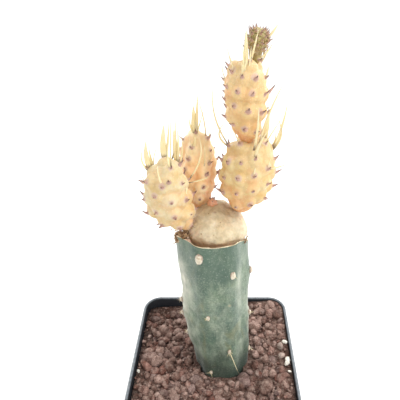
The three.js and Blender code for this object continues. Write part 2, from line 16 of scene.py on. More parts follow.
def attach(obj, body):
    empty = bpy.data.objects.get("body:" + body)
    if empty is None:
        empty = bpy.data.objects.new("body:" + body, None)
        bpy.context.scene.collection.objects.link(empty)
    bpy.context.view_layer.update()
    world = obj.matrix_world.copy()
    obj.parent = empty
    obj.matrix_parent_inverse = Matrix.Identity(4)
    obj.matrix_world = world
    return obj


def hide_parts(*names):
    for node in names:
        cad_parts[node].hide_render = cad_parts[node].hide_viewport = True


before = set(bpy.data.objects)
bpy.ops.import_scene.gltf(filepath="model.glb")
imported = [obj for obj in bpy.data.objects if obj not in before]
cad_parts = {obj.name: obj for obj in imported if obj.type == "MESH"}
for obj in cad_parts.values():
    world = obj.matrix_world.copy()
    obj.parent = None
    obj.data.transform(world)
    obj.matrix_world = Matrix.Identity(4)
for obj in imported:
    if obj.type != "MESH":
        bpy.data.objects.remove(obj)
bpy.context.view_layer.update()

bl_info = {
    "name": "Potted paper spine cactus",
    "version": (1, 0, 0),
    "blender": (4, 5, 0),
    "location": "3D View > Sidebar > Cactus",
    "description": "Adds a potted, grafted paper spine cactus piece by piece",
    "category": "Add Mesh",
}

MM = 0.001
TAU = 2 * math.pi
# Gap between neighbouring solids of the CAD part
GAP = 0.3
# Turn in degrees from one swelling, leaf or scale to the next on a plant
GOLDEN_TURN = 137.5

POT = dict(
    height=80, rim_half=40, collar_half=39.4, collar_foot=71, shoulder_half=38, base_half=28,
    corner=9, lip=1.4, wall=1.4, floor_under=1.6, floor_top=4, drain_radius=3, drain_place=14,
    foot_radius=5, foot_place=20, pad_radius=8,
)
RIM_INSIDE = POT["rim_half"] - POT["lip"]
INNER_CORNER = POT["corner"] - POT["wall"]
CORNER_STEPS = 14
FILL = dict(
    soil_top=67, level=74.5, rise_right=0.035, rise_back=0.03, heap=3.2, dip=3.4,
    dip_place=(-28, 38), dip_reach=16, bed_depth=1.6,
    bank=1.5, left_bank_reach=7, back_bank_reach=9, left_bank_ends=(30, 12),
)
# Layers of stones: distance between places as a share of the spacing, depth under the gravel's
# level, and how far the places are moved about as a share of that distance
STONE_LAYERS = dict(low=(1, 2.4, 0.8), high=(1.1, 0.9, 1.1), crumbs=(0.62, 0.8, 1.4))
STONES = dict(
    kept_high=0.8, kept_crumbs=0.75,
    unevenness=0.3, smallest=0.5, largest=1.65, crumb_radii=(0.35, 0.95), depth_range=0.9,
    planes=8, plane_depths=(0.5, 0.92), roughness=0.05, stretch=(0.7, 1.3),
    flatness=(1.12, 1.12, 0.95), off_corners=5, off_rootstock=0.4,
)
# White and greyish pumice bits: right, away, radius and paleness
PUMICE = (
    (36.7, 9.3, 1.1, 1), (36.6, -0.6, 1.5, 1), (36.3, -2.6, 1.4, 1), (36.9, -7.0, 0.9, 1),
    (-36.7, -7.0, 0.9, 1), (34.3, 7.0, 1.8, 0.22), (34.0, 1.8, 1.7, 0.18),
    (-34.5, 14.0, 1.3, 0.15),
)
STOCK = dict(
    foot=(5.8, 4.5, 55), cut=(1.5, 10, 145), foot_radius=13.0, cut_radius=15, cut_slope=0.5,
    ribs=7, rib_depth=0.55, rib_turn=-111, rib_twist=0.2, twist_from=130, ledge_depth=0.9,
    rises=((-152, 4.4, 38), (-40, 1.9, 30)),
)
# Heights of the areoles on each rib, from the rib at the front left on and round by the right
AREOLE_HEIGHTS = (
    (148, 115, 77), (138, 93), (131, 107, 84), (136, 118, 97), (133, 112, 86), (128, 104, 82),
    (116, 107.5, 93.5),
)
# How far each of them stands aside of its rib's crest, in degrees
AREOLE_ASIDE = (
    (0, 9, 8), (-1, -6), (0, 0, 0), (0, 4, -3), (3, 0, -4), (-3, 2, 0), (0, 0, 0),
)
# Ribs whose areoles have more felt and hairs, and ribs whose areoles sit on a higher hump
WOOLLY_RIBS = (2, 5, 6)
HIGH_HUMPS = {2: 0.6, 6: 0.95}
# Waves of the rootstock's skin, of the cut's edge and of the felt: height, length and seed of each
SKIN_WAVES = ((0.22, 26, 3), (0.09, 9, 4), (0.03, 3.2, 5))
EDGE_WAVES = ((0.28, 7, 6), (0.12, 2.5, 7))
FELT_WAVES = ((0.07, 1.6, 21), (0.04, 0.5, 22))
SWELL = dict(
    hump=0.45, hump_wide=4.2, hump_tall=5, hump_drop=0.5, notch=0.22, notch_wide=4,
    notch_tall=0.8, notch_rise=3.4, notch_arch=0.35, left=0.5, bulge=0.6, bulge_height=103,
    bulge_tall=11, right=0.5, right_heights=(130, 112), foot=0.5, foot_heights=(90, 76),
)
# Rings from the rootstock's edge in to its middle: reach as a share of the radius, level over the
# cut's plane, share of the lip's rise, and mark that is 1 on the corky lip and 2 on the ledge
LIP = np.array((
    (0.993, 0.22, 1, 0.8), (0.983, 0.35, 1, 1), (0.972, 0.28, 1, 1), (0.965, 0.08, 0.9, 1.3),
    (0.957, -0.12, 0.55, 1.7), (0.945, -0.26, 0.2, 2), (0.93, -0.33, 0, 2), (0.86, -0.4, 0, 2),
    (0.79, -0.5, 0, 2), (0.6, -0.9, 0, 2), (0.3, -0.9, 0, 2),
))
# Pale bands of bloom, those at the left and right edges also a painted highlight: turn and reach
# to each side in degrees, height and reach up and down, and strength
BLOOM_AND_EDGE_HIGHLIGHT = (
    (-151, 11, 131, 13, 1.2), (-163, 9, 107, 15, 1.3), (-44, 7, 128, 9, 0.5),
    (-12, 9, 105, 10, 0.6), (-8, 7, 146, 5, 0.5), (70, 10, 120, 20, 0.4), (150, 9, 125, 16, 0.4),
)
AREOLE = dict(
    radius=1.9, size_heights=(90, 125, 138, 148), sizes=(1.2, 1.35, 1.85, 2.25), woolly=1.15,
    mark_wide=1.9, mark_tall=2.3, hairs=18, hair_spread=0.7, hair_scatter=0.25,
    hair_lengths=(0.35, 0.8), hair_radius=0.05, woolly_hair=1.3, spines=4, spine_spread=0.75,
    spine_lengths=(1.0, 2.9), spine_radius=0.13, long_rib=1, long_below=100, long_length=12,
    long_radius=0.24,
)
SCION = dict(
    lean=(2.1, 2.5), height=17, radius=12.7, waist=11.3, waist_height=1.4, shoulder=2.6,
    fullness=2.3, levelling=1.2, full_height=4.6, middle=(3.6, 11.5, 150), swellings=16,
    swelling_levels=(0.15, 0.95), swelling_reach=(12.6, 12.6, 11.6), swelling=0.4,
    swelling_wide=2.6, scar_wide=0.8, crease=0.12, creases=23,
)
SCION_WAVES = ((0.3, 11, 41), (0.12, 4, 42), (0.05, 1.7, 43))
TUBERCLE = dict(
    height=0.8, reach=3.4, smallest=0.3, blend=0.55, fall=0.95, valley=0.35, rise=2.1, sink=0.75,
    sizes=(0.8, 1.15), dimple=0.15, dimple_wide=0.9, areole_wide=1.3, areole_above=0.7,
    areole_strengths=(0.25, 1), own_root=2.6,
)
SEGMENT_WAVES = ((0.16, 8), (0.06, 3.1), (0.03, 1.2))
# Radius above which a segment has tubercles of the full size, and under which it is a young shoot
FULL_RADIUS = 7
YOUNG_RADIUS = 5
YOUNG_LEAVES = dict(count=46, lowest=-0.55, span=1.52, start=60)
LEAF = dict(
    reach=2.6, young_reach=2.1, width=1.15, thickness=0.72, rise=0.6, root=0.5, smallest=0.62,
    narrowest=0.03, sizes=(0.7, 1.2), curve=(0.1, 0.4), sway=0.12,
)
BRISTLE = dict(
    count=9, spread=0.45, radius=0.045, lengths=(0.5, 1.3), rise=0.5, root=0.8, scatter=0.22,
    smallest=0.6,
)
BUD = dict(place=(2.2, 12.8, 161.2), radius=2, height=3.8, leaves=7)
# Dried bits round the graft: the tuft, the thin roots in the ledge and the shreds on the lip
TUFT = dict(
    place=(-10.8, 5.5, 151.6), radius=2.8, middle_lump=0.8, lumps=6, spread=2.8,
    flatness=(1, 0.85, 0.9), fold_length=2.2, folds=0.3, grain_length=0.7, grain=0.14,
    strands=70, lean=(-0.1, -0.3, 0.25), scatter=(1.7, 1.3, 0.9), lengths=(1.2, 3.4),
    curls=(0.3, 1.3), radii=(0.06, 0.16), flakes=0.35, flake_width=3.6, strand_width=1.3,
)
LEDGE_ROOTS = dict(
    count=9, start=(170, 215), reach=(20, 75), middle=2.6, radius=12.6, wander=0.9, lift=0.1,
    wave=0.25, thickness=0.17, sizes=(0.6, 1.3),
)
SHREDS = dict(
    count=12, place=(15.2, 5.8, 147.6), scatter=(0.5, 1.3, 0.3), lean=(0.16, -0.1, 1),
    spread=0.22, lengths=(2.2, 5.2), bow=0.5, widths=(0.12, 0.4), thickness=0.1,
)

# Stem segments, from base to top. A higher taper narrows the foot, and a lower crown flattens the
# top. A level runs from -1 at the base over 0 at the widest place to 1 at the top. A paper spine
# is a row of turn, level, reach to the right, away and up, width, and bow to the right: first those
# of the CAD solid, then others that are seen but too thin for it.
SEGMENTS = {
    "segment_left": dict(
        base=(-9.4, 8, 154.5), top=(-14, -1, 187), bend=(-2.6, 0), radius=8.6, wide=0.52,
        taper=1.35, crown=0.6, count=34, lowest=-0.77, highest=0.98,
        divergence=80.24, start=322.5, rows=150, slot="cream_skin",
        papers=(
            (90, 0.95, 1.3, -0.9, 14.7, 1.8, -0.5), (49, 0.7, 0.1, 0, 15.1, 1.6, -0.1),
            (49, 0.7, 1.2, 0, 15.8, 1, 0.5), (153, 0.84, -0.1, 0, 12, 1.6, -0.8),
            (-90, 0.79, -0.6, -2.3, 9.8, 0.8, -0.5), (15, 0.34, 5.6, -1.5, 19.2, 0.7, 2.6),
            (30, 0.81, 1.6, 0, 11.7, 0.7, 0.8), (90, 0.95, 2.7, 0, 15.7, 0.9, 0.5),
            (-36, 0.98, 2.2, 0, 23.4, 0.6, -0.3), (60, 0.91, 2.4, 0, 19.3, 0.6, 1.1),
            (159, 0.81, -1, 0, 9.7, 0.6, -1.6), (129, 0.75, -0.4, 0, 9, 0.7, -0.7),
            (8, 0.44, 0, -4.5, -3.8, 0.6, 0.2), (129, 0.75, 3.8, 0, 11.2, 0.4, -1.1),
            (-36, 0.98, 0.2, -1.5, 10.1, 0.8, -0.7), (15, 0.31, 8.1, -1.5, 3.6, 0.5, 2.1),
        ),
    ),
    "segment_back": dict(
        base=(-4, 17, 156), top=(-3.3, 21, 190.5), bend=(0, 0), radius=6.8, wide=0.56,
        taper=1.25, crown=0.7, count=32, lowest=-0.83, highest=1,
        divergence=146.19, start=52.9, rows=140, slot="coral_skin",
        papers=(
            (-95, 0.97, -0.3, -0.7, 12.3, 1.7, -0.3), (-95, 0.97, 1.4, 0, 16.5, 1.2, 0),
            (-106, 0.69, 1.2, -2.3, 6.3, 1.2, 0.5), (-95, 0.97, -1.9, 0, 7.8, 0.7, -1),
            (-95, 0.97, 3.3, 0, 10.3, 0.5, 0.1), (-66, 0.16, 0.6, -1.5, 12.2, 0.5, 0.4),
            (-30, 0.87, -2.9, 0, 17.4, 0.5, 0.8),
        ),
    ),
    "segment_right": dict(
        base=(13.2, 12.5, 159), top=(18, 10, 191), bend=(0, 0), radius=9.8, wide=0.54,
        taper=1.2, crown=0.5, count=42, lowest=-0.64, highest=0.89,
        divergence=97.97, start=55.1, rows=160, slot="golden_skin",
        papers=(
            (178, 0.76, 1.3, -2.2, 11, 0.7, -3.2), (178, 0.76, -5.6, 0, 24.3, 0.6, -2.6),
            (30, 0.98, 1.3, -2.2, 14.2, 1.3, 0.7), (-66, 0.98, 7.7, -1.5, 24.6, 0.8, -1.1),
            (6, 0.79, 1.6, 0, 12.5, 0.9, 2.2), (3, 0.79, 4.8, 1.5, 18.3, 0.9, 0.7),
            (-84, 0.8, 3.5, -3, 11.9, 1, -0.7), (-50, 0.54, 7.2, 0, 2, 0.6, 0.8),
            (-90, 0.94, 1.2, -2.2, 17.2, 0.9, 0.4), (-27, 0.98, 6.2, -1.5, 11.9, 0.6, -0.3),
            (-147, 0.94, -3.5, -1.5, 8.9, 0.5, 0.4),
        ),
    ),
    "segment_upper": dict(
        base=(15.8, 10.5, 190), top=(14.6, 10, 219.7), bend=(0, 0), radius=6.8, wide=0.6,
        taper=1.2, crown=0.5, count=38, lowest=-0.72, highest=0.9,
        divergence=161.28, start=336.8, rows=140, slot="amber_skin",
        papers=(
            (-90, 0.84, 0, 0, 12.5, 1.3, 0), (-72, 0.96, 2.6, -2.3, 11.2, 0.7, 0.1),
            (-101, 0.71, -0.1, 0, 10.4, 0.6, 0.3), (-81, 0.81, 0.7, 0, 8.4, 0.5, 0.1),
            (-101, 0.71, 0.9, 0, 13, 0.6, 0.7),
        ),
    ),
    "shoot_tip": dict(
        base=(17.5, 10.5, 218.3), top=(19.1, 12, 229.4), bend=(0, 0), radius=3, wide=0.66,
        taper=1, crown=0.75, count=20, lowest=-0.2, highest=0.95,
        divergence=137.51, start=20, rows=90, slot="olive_skin",
        papers=(
            (5, 0.3, 3.4, 0, 4.2, 0.7, 0.3), (-63, -0.71, 4.3, 0, 4.7, 0.6, 0.7),
        ),
    ),
}
# Steps to the right by which a paper spine's tip is moved until the spine clears the segments
PAPER_BENDS = (0, 1.5, -1.5, 3, -3, 4.5, -4.5)
# Way that the flat sides of the paper spines seen in the photo face
PAPER_FACING = (0.1, -0.9, 0.4)
PAPER = dict(clear=0.7, root=0.6, slim=1.15, broader=0.2, thickest=0.12, twist=0.9, tilt=0.35)
# Paper spines that are drawn at random: kept shares, reach, width and reach aside, for the back
# and for the sides and front
FAINT_PAPERS = dict(
    back_from=0.35, lowest=0.2, kept=(0.75, 0.35), reach=(5.5, 7), shorter=(1, 0.6),
    widths=(0.45, 1.2), thinner=(1, 0.7), lean=2.5,
)

# The photo's camera: place in millimetres, yaw, pitch and roll in degrees
CAMERA = dict(place=(7.7, -125.9, 253.0), yaw=4.41, pitch=32.52, roll=-3.26, lens=36, film=36)
# Lights: name, place in metres and power in watts, then what all of them share
LIGHTS = (
    ("key", (0.45, -0.2, 0.75), 3.5), ("rim", (0.5, 0.5, 0.4), 2.0),
    ("back", (-0.45, 0.6, 0.5), 2.6),
)
LIGHT_AIM, LIGHT_SIZE = (0, 0, 0.15), 0.4


def unit(vectors):
    """The vectors at length 1."""
    return vectors / np.linalg.norm(vectors, axis=-1, keepdims=True)


def step(low, high, value):
    """Smooth rise from 0 at low to 1 at high."""
    share = np.clip((value - low) / (high - low), 0, 1)
    return share * share * (3 - 2 * share)


def waves(points, length, seed, count=7):
    """Smooth noise around 0: the sum of sine waves of one wavelength that run in random ways."""
    draw = np.random.default_rng(seed)
    ways = unit(draw.normal(size=(count, 3))) * TAU / length
    return np.sin(points @ ways.T + draw.uniform(0, TAU, count)).sum(-1) / math.sqrt(count)


def ripples(points, rows):
    """Sum of waves, one for each row of height, length and seed."""
    return sum(height * waves(points, length, seed) for height, length, seed in rows)


def bell(*offsets):
    """Bell shape: 1 where all the offsets are 0, falling off with the exponent of minus the sum
    of their squares."""
    return np.exp(-sum(off**2 for off in offsets))


def turned_off(turn, middle):
    """How far a turn lies from a middle given in degrees, between minus and plus half a turn."""
    return (turn - math.radians(middle) + math.pi) % TAU - math.pi


def turns(count):
    """Turns of points evenly round a circle."""
    return TAU * np.arange(count) / count


# --- Meshes ---


def patch(points, quads=None, triangles=None, material=0, **marks):
    """Part of a mesh: points in millimetres, faces, and one value a point for each mark. A mark
    that a part lacks is 0 on it."""
    quads = np.zeros((0, 4), int) if quads is None else quads
    triangles = np.zeros((0, 3), int) if triangles is None else triangles
    return dict(points=points, quads=quads, triangles=triangles, material=material, marks=marks)


def closed_loft(rings, material=0, **marks):
    """Closed surface through rings (rows, around, 3), counterclockwise seen from the last one.

    Neighbouring rings are joined by quads, and each end is closed by a fan round its middle.
    A mark has a value for each row or place around, or both, and its ends take the ring's mean.
    """
    rows, around = rings.shape[:2]
    k = np.arange(around)
    after = (k + 1) % around
    row = np.arange(rows - 1)[:, None] * around
    quads = np.stack([row + k, row + after, row + after + around, row + k + around], -1)
    foot, tip, last = rows * around, rows * around + 1, (rows - 1) * around
    fans = [
        np.stack([np.full(around, foot), after, k], -1),
        np.stack([np.full(around, tip), last + k, last + after], -1),
    ]
    points = np.concatenate([rings.reshape(-1, 3), rings[[0, -1]].mean(1)])
    spread = {}
    for name, value in marks.items():
        value = np.broadcast_to(value, (rows, around))
        spread[name] = np.concatenate([value.ravel(), value[[0, -1]].mean(1)])
    return patch(points, quads.reshape(-1, 4), np.concatenate(fans), material, **spread)


def swept(paths, side, wide, thick, around, material=0, **marks):
    """Tubes with oval sections along many paths at once.

    paths are (pieces, rows, 3), and wide and thick (pieces, rows). side is one direction for all,
    or one for each piece or point, and a mark has a value for each piece or row, or also for each
    place around. A point is the path's point, plus side times wide times the cosine, plus depth
    times thick times the sine of the place around, where depth stands square to the path and to
    side.
    """
    tangent = unit(np.gradient(paths, axis=1))
    side = unit(side - (side * tangent).sum(-1, keepdims=True) * tangent)
    depth = np.cross(tangent, side)
    angle = turns(around)
    across = (side * wide[..., None])[:, :, None] * np.cos(angle)[:, None]
    out = (depth * thick[..., None])[:, :, None] * np.sin(angle)[:, None]
    rings = paths[:, :, None] + across + out
    pieces, rows = paths.shape[:2]
    one = closed_loft(rings[0])
    size = len(one["points"])
    ends = rings[:, [0, -1]].mean(2)
    points = np.concatenate([rings.reshape(pieces, -1, 3), ends], 1).reshape(-1, 3)
    shift = (np.arange(pieces) * size)[:, None, None]
    spread = {}
    for name, value in marks.items():
        value = value if value.ndim == 3 else value[..., None]
        value = np.broadcast_to(value, (pieces, rows, around))
        flat = np.concatenate([value.reshape(pieces, -1), value[:, [0, -1]].mean(2)], 1)
        spread[name] = flat.ravel()
    return patch(
        points,
        (one["quads"] + shift).reshape(-1, 4),
        (one["triangles"] + shift).reshape(-1, 3),
        material,
        **spread,
    )


def add_object(name, data):
    """New object in the scene, with its mesh, light or camera."""
    made = bpy.data.objects.new(name, data)
    bpy.context.scene.collection.objects.link(made)
    return made


def make_piece(name, patches, materials, slot, *nodes):
    """One smooth object from patches, in metres, riding on the pot and standing for CAD nodes."""
    points = np.concatenate([part["points"] for part in patches]) * MM
    corners, sizes, finish = [], [], []
    start = 0
    for part in patches:
        for faces in (part["quads"], part["triangles"]):
            corners.append((faces + start).ravel())
            sizes.append(np.full(len(faces), faces.shape[1]))
            finish.append(np.full(len(faces), part["material"]))
        start += len(part["points"])
    corners, sizes, finish = (np.concatenate(each) for each in (corners, sizes, finish))
    mesh = bpy.data.meshes.new(name)
    mesh.vertices.add(len(points))
    mesh.vertices.foreach_set("co", points.ravel().astype(np.float32))
    mesh.loops.add(len(corners))
    mesh.loops.foreach_set("vertex_index", corners.astype(np.int32))
    mesh.polygons.add(len(sizes))
    mesh.polygons.foreach_set("loop_start", (np.cumsum(sizes) - sizes).astype(np.int32))
    mesh.polygons.foreach_set("material_index", finish.astype(np.int32))
    mesh.polygons.foreach_set("use_smooth", np.ones(len(sizes), bool))
    mesh.update(calc_edges=True)
    for mark in sorted({key for part in patches for key in part["marks"]}):
        values = [part["marks"].get(mark, np.zeros(len(part["points"]))) for part in patches]
        layer = mesh.attributes.new(mark, "FLOAT", "POINT")
        layer.data.foreach_set("value", np.concatenate(values).astype(np.float32))
    for material in materials:
        mesh.materials.append(material)
    piece = add_object(name, mesh)
    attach(piece, "root")
    if nodes:
        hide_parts(*nodes)
    return piece


# --- Materials ---


def tint(code):
    """Linear colour of a six-digit code."""
    parts = [int(code[k : k + 2], 16) / 255 for k in (1, 3, 5)]
    return (*[c / 12.92 if c < 0.04045 else ((c + 0.055) / 1.055) ** 2.4 for c in parts], 1)


def add_node(tree, kind, sockets=None, **settings):
    """A node with its settings. Each socket is linked to another one or given a value, or the
    colour of a code."""
    made = tree.nodes.new(kind)
    for key, value in settings.items():
        setattr(made, key, value)
    for key, value in (sockets or {}).items():
        if isinstance(value, bpy.types.NodeSocket):
            tree.links.new(value, made.inputs[key])
        else:
            made.inputs[key].default_value = tint(value) if isinstance(value, str) else value
    return made


def mixed(tree, share, first, second, way="MIX"):
    """Colour between first and second, or second laid on first in another way."""
    sockets = {0: share, 6: first, 7: second}
    return add_node(tree, "ShaderNodeMix", sockets, data_type="RGBA", blend_type=way).outputs[2]


def sums(tree, way, first, second=0.0, third=0.0):
    """Result of a Math node."""
    sockets = {0: first, 1: second, 2: third}
    return add_node(tree, "ShaderNodeMath", sockets, operation=way).outputs[0]


def times(tree, first, second):
    """Product of two values."""
    return sums(tree, "MULTIPLY", first, second)


def spread(tree, value, low, high, start=0.0, end=1.0):
    """Smooth change from start at low to end at high."""
    sockets = {"Value": value, "From Min": low, "From Max": high, "To Min": start, "To Max": end}
    node = add_node(tree, "ShaderNodeMapRange", sockets, interpolation_type="SMOOTHSTEP")
    return node.outputs["Result"]


def mark_of(tree, name):
    """Value of one of the piece's marks."""
    return add_node(tree, "ShaderNodeAttribute", attribute_name=name).outputs["Fac"]


def marks_of(tree, *names):
    """Values of several marks."""
    return [mark_of(tree, name) for name in names]


def noise(tree, place, scale, detail=3.0, roughness=0.55, distortion=0.0):
    """Noise around a half at a place."""
    sockets = {
        "Vector": place, "Scale": scale, "Detail": detail, "Roughness": roughness,
        "Distortion": distortion,
    }
    return add_node(tree, "ShaderNodeTexNoise", sockets).outputs["Fac"]


def stretched(tree, place, up):
    """The place with its height scaled, so that a pattern on it is drawn out upwards."""
    return add_node(tree, "ShaderNodeMapping", {"Vector": place, "Scale": (1, 1, up)}).outputs[0]


def height_of(tree, vector):
    """Upward part of a vector."""
    return add_node(tree, "ShaderNodeSeparateXYZ", {0: vector}).outputs["Z"]


def new_group(name, inputs, outputs):
    """Empty shader node group with named inputs and outputs: name, kind of socket, default."""
    group = bpy.data.node_groups.new(name, "ShaderNodeTree")
    for title, kind, default in inputs:
        socket = group.interface.new_socket(title, in_out="INPUT", socket_type=kind)
        if default is not None:
            socket.default_value = default
    for title, kind in outputs:
        group.interface.new_socket(title, in_out="OUTPUT", socket_type=kind)
    inside = group.nodes.new("NodeGroupInput").outputs
    outside = group.nodes.new("NodeGroupOutput").inputs
    return group, inside, outside


NUMBER, COLOUR, VECTOR = "NodeSocketFloat", "NodeSocketColor", "NodeSocketVector"
WHITE = (1, 1, 1, 1)


def make_mottle():
    """Two colours in soft clouds, with smaller clouds that darken or lighten them a little."""
    group, given, result = new_group(
        "soft mottle",
        [("Place", VECTOR, None), ("Scale", NUMBER, 100.0), ("First", COLOUR, None),
         ("Second", COLOUR, None), ("Unevenness", NUMBER, 0.15)],
        [("Color", COLOUR)],
    )
    clouds = noise(group, given["Place"], given["Scale"], 4.0, 0.6, 0.4)
    finer = noise(group, given["Place"], times(group, given["Scale"], 6.0))
    colour = mixed(group, spread(group, clouds, 0.35, 0.65), given["First"], given["Second"])
    shade = mixed(group, spread(group, finer, 0.3, 0.7), (0.35, 0.33, 0.3, 1), WHITE)
    toned = mixed(group, given["Unevenness"], colour, shade, "MULTIPLY")
    group.links.new(toned, result["Color"])
    return group


def make_specks():
    """Mask of scattered round specks: the cells' middles nearer than the size."""
    group, given, result = new_group(
        "scattered specks",
        [("Place", VECTOR, None), ("Scale", NUMBER, 400.0), ("Size", NUMBER, 0.2),
         ("Share", NUMBER, 0.5)],
        [("Mask", NUMBER)],
    )
    sockets = {"Vector": given["Place"], "Scale": given["Scale"]}
    cells = add_node(group, "ShaderNodeTexVoronoi", sockets)
    near = spread(group, sums(group, "SUBTRACT", given["Size"], cells.outputs["Distance"]), 0, 0.1)
    split = add_node(group, "ShaderNodeSeparateColor", {"Color": cells.outputs["Color"]})
    kept = sums(group, "LESS_THAN", split.outputs[0], given["Share"])
    group.links.new(times(group, near, kept), result["Mask"])
    return group


def make_grain():
    """Height of a fine uneven grain: noise over small cells."""
    group, given, result = new_group(
        "fine grain",
        [("Place", VECTOR, None), ("Scale", NUMBER, 1500.0), ("Cells", NUMBER, 0.4)],
        [("Height", NUMBER)],
    )
    rough = noise(group, given["Place"], given["Scale"], 4.0, 0.65)
    sockets = {"Vector": given["Place"], "Scale": given["Scale"]}
    cells = add_node(group, "ShaderNodeTexVoronoi", sockets).outputs["Distance"]
    pitted = times(group, cells, given["Cells"])
    group.links.new(sums(group, "ADD", rough, pitted), result["Height"])
    return group


def make_dust():
    """Mask of dust that lies where the surface faces up, broken up by noise."""
    group, given, result = new_group(
        "settled dust",
        [("Place", VECTOR, None), ("Scale", NUMBER, 300.0), ("Amount", NUMBER, 0.5)],
        [("Mask", NUMBER)],
    )
    up = height_of(group, add_node(group, "ShaderNodeNewGeometry").outputs["Normal"])
    patchy = spread(group, noise(group, given["Place"], given["Scale"], 5.0, 0.7), 0.4, 0.75)
    level = times(group, spread(group, up, 0.2, 0.9), patchy)
    group.links.new(times(group, level, given["Amount"]), result["Mask"])
    return group


def placed(tree, name, make, **sockets):
    """Output of a shared group, made once and placed in a material with its own values."""
    group = bpy.data.node_groups.get(name) or make()
    return add_node(tree, "ShaderNodeGroup", sockets, node_tree=group).outputs[0]


def mottled(tree, place, scale, first, second, unevenness):
    """Colour of the soft mottle."""
    return placed(tree, "soft mottle", make_mottle, Place=place, Scale=scale, First=first,
                  Second=second, Unevenness=unevenness)


def specked(tree, place, scale, size, share):
    """Mask of the scattered specks."""
    return placed(tree, "scattered specks", make_specks, Place=place, Scale=scale, Size=size,
                  Share=share)


def grained(tree, place, scale, cells):
    """Height of the fine grain."""
    return placed(tree, "fine grain", make_grain, Place=place, Scale=scale, Cells=cells)


def dusted(tree, place, scale, amount):
    """Mask of the settled dust."""
    return placed(tree, "settled dust", make_dust, Place=place, Scale=scale, Amount=amount)


def new_material(name, roughness=None):
    """Material with a Principled shader: its tree, the shader's inputs and the object's place."""
    material = bpy.data.materials.new(name)
    material.use_nodes = True
    tree = material.node_tree
    shader = tree.nodes["Principled BSDF"].inputs
    if roughness is not None:
        shader["Roughness"].default_value = roughness
    place = tree.nodes.new("ShaderNodeTexCoord").outputs["Object"]
    return material, tree, shader, place


def paint(tree, shader, colour, *layers):
    """Sets the base colour: a colour with others laid over it in turn, each by its own mask."""
    for mask, over in layers:
        colour = mixed(tree, mask, colour, over)
    tree.links.new(colour, shader["Base Color"])


def set_bump(tree, shader, height, distance):
    """Bump whose depth is the distance in millimetres."""
    bump = add_node(tree, "ShaderNodeBump", {"Height": height, "Distance": distance * MM})
    tree.links.new(bump.outputs["Normal"], shader["Normal"])


def set_flesh(shader, weight, radius, scale):
    """Light that goes under the skin: its weight, its reach by colour and a scale of it in
    millimetres."""
    shader["Subsurface Weight"].default_value = weight
    shader["Subsurface Radius"].default_value = radius
    shader["Subsurface Scale"].default_value = scale * MM


def pot_plastic(colour):
    """Dark plastic with dust and specks of soil, and a painted grey highlight on the rim's top."""
    material, tree, shader, place = new_material("pot plastic")
    lighter = (*[1.2 * part for part in colour[:3]], 1)
    dust = dusted(tree, place, 260.0, 0.3)
    specks = specked(tree, place, 420.0, 0.2, 0.12)
    veil = sums(tree, "MAXIMUM", dust, times(tree, specks, 0.3))
    # Painted highlight: the top of the rim lighter grey, broken up by noise
    rim_highlight_breakup = spread(tree, noise(tree, place, 700.0, 5.0, 0.7), 0.3, 0.6, 0.45, 1.0)
    top = POT["height"]
    rim_highlight = spread(tree, height_of(tree, place), (top - 0.9) * MM, (top - 0.25) * MM, 0, 0.62)
    paint(
        tree, shader, mottled(tree, place, 60.0, colour, lighter, 0.2),
        (veil, "#83796f"),
        (times(tree, rim_highlight, rim_highlight_breakup), "#8f979d"),
    )
    smears = noise(tree, place, 90.0, 4.0)
    rough = sums(tree, "ADD", spread(tree, smears, 0.3, 0.7, 0.34, 0.46), veil)
    tree.links.new(rough, shader["Roughness"])
    set_bump(tree, shader, grained(tree, place, 2600.0, 0.3), 0.05)
    return material


def soil():
    """Dark crumbly soil with pale grit."""
    material, tree, shader, place = new_material("potting mix", 0.95)
    grit = specked(tree, place, 500.0, 0.35, 0.25)
    soft = mottled(tree, place, 350.0, "#3a2a20", "#6b5240", 0.6)
    paint(tree, shader, soft, (grit, "#a08d7c"))
    set_bump(tree, shader, noise(tree, place, 700.0, 6.0, 0.7), 0.8)
    return material


def lava_stone(base, light):
    """Lava: each stone with its own tone and hue, dark pores and dust on top. The pale mark
    turns a stone to pumice."""
    material, tree, shader, place = new_material("lava gravel", 0.88)
    tone, hue, pale = marks_of(tree, "tone", "hue", "pale")
    colour = mixed(tree, spread(tree, tone, 0.0, 1.0), base, light)
    colour = mixed(tree, spread(tree, hue, 0.62, 1.0, 0, 0.55), colour, "#8c4a38")
    colour = mixed(tree, spread(tree, hue, 0.0, 0.3, 0.45, 0), colour, "#6f5c60")
    clouds = mottled(tree, place, 420.0, WHITE, "#b9aaa2", 0.75)
    pores = specked(tree, place, 1500.0, 0.34, 0.5)
    paint(
        tree, shader, mixed(tree, 1.0, colour, clouds, "MULTIPLY"),
        (times(tree, pores, 0.55), "#3d2620"),
        (dusted(tree, place, 500.0, 0.5), "#c8b0a2"),
        (pale, "#efe9dc"),
    )
    holes = sums(tree, "MULTIPLY_ADD", pores, -0.5, grained(tree, place, 1100.0, 0.8))
    set_bump(tree, shader, holes, 0.5)
    return material


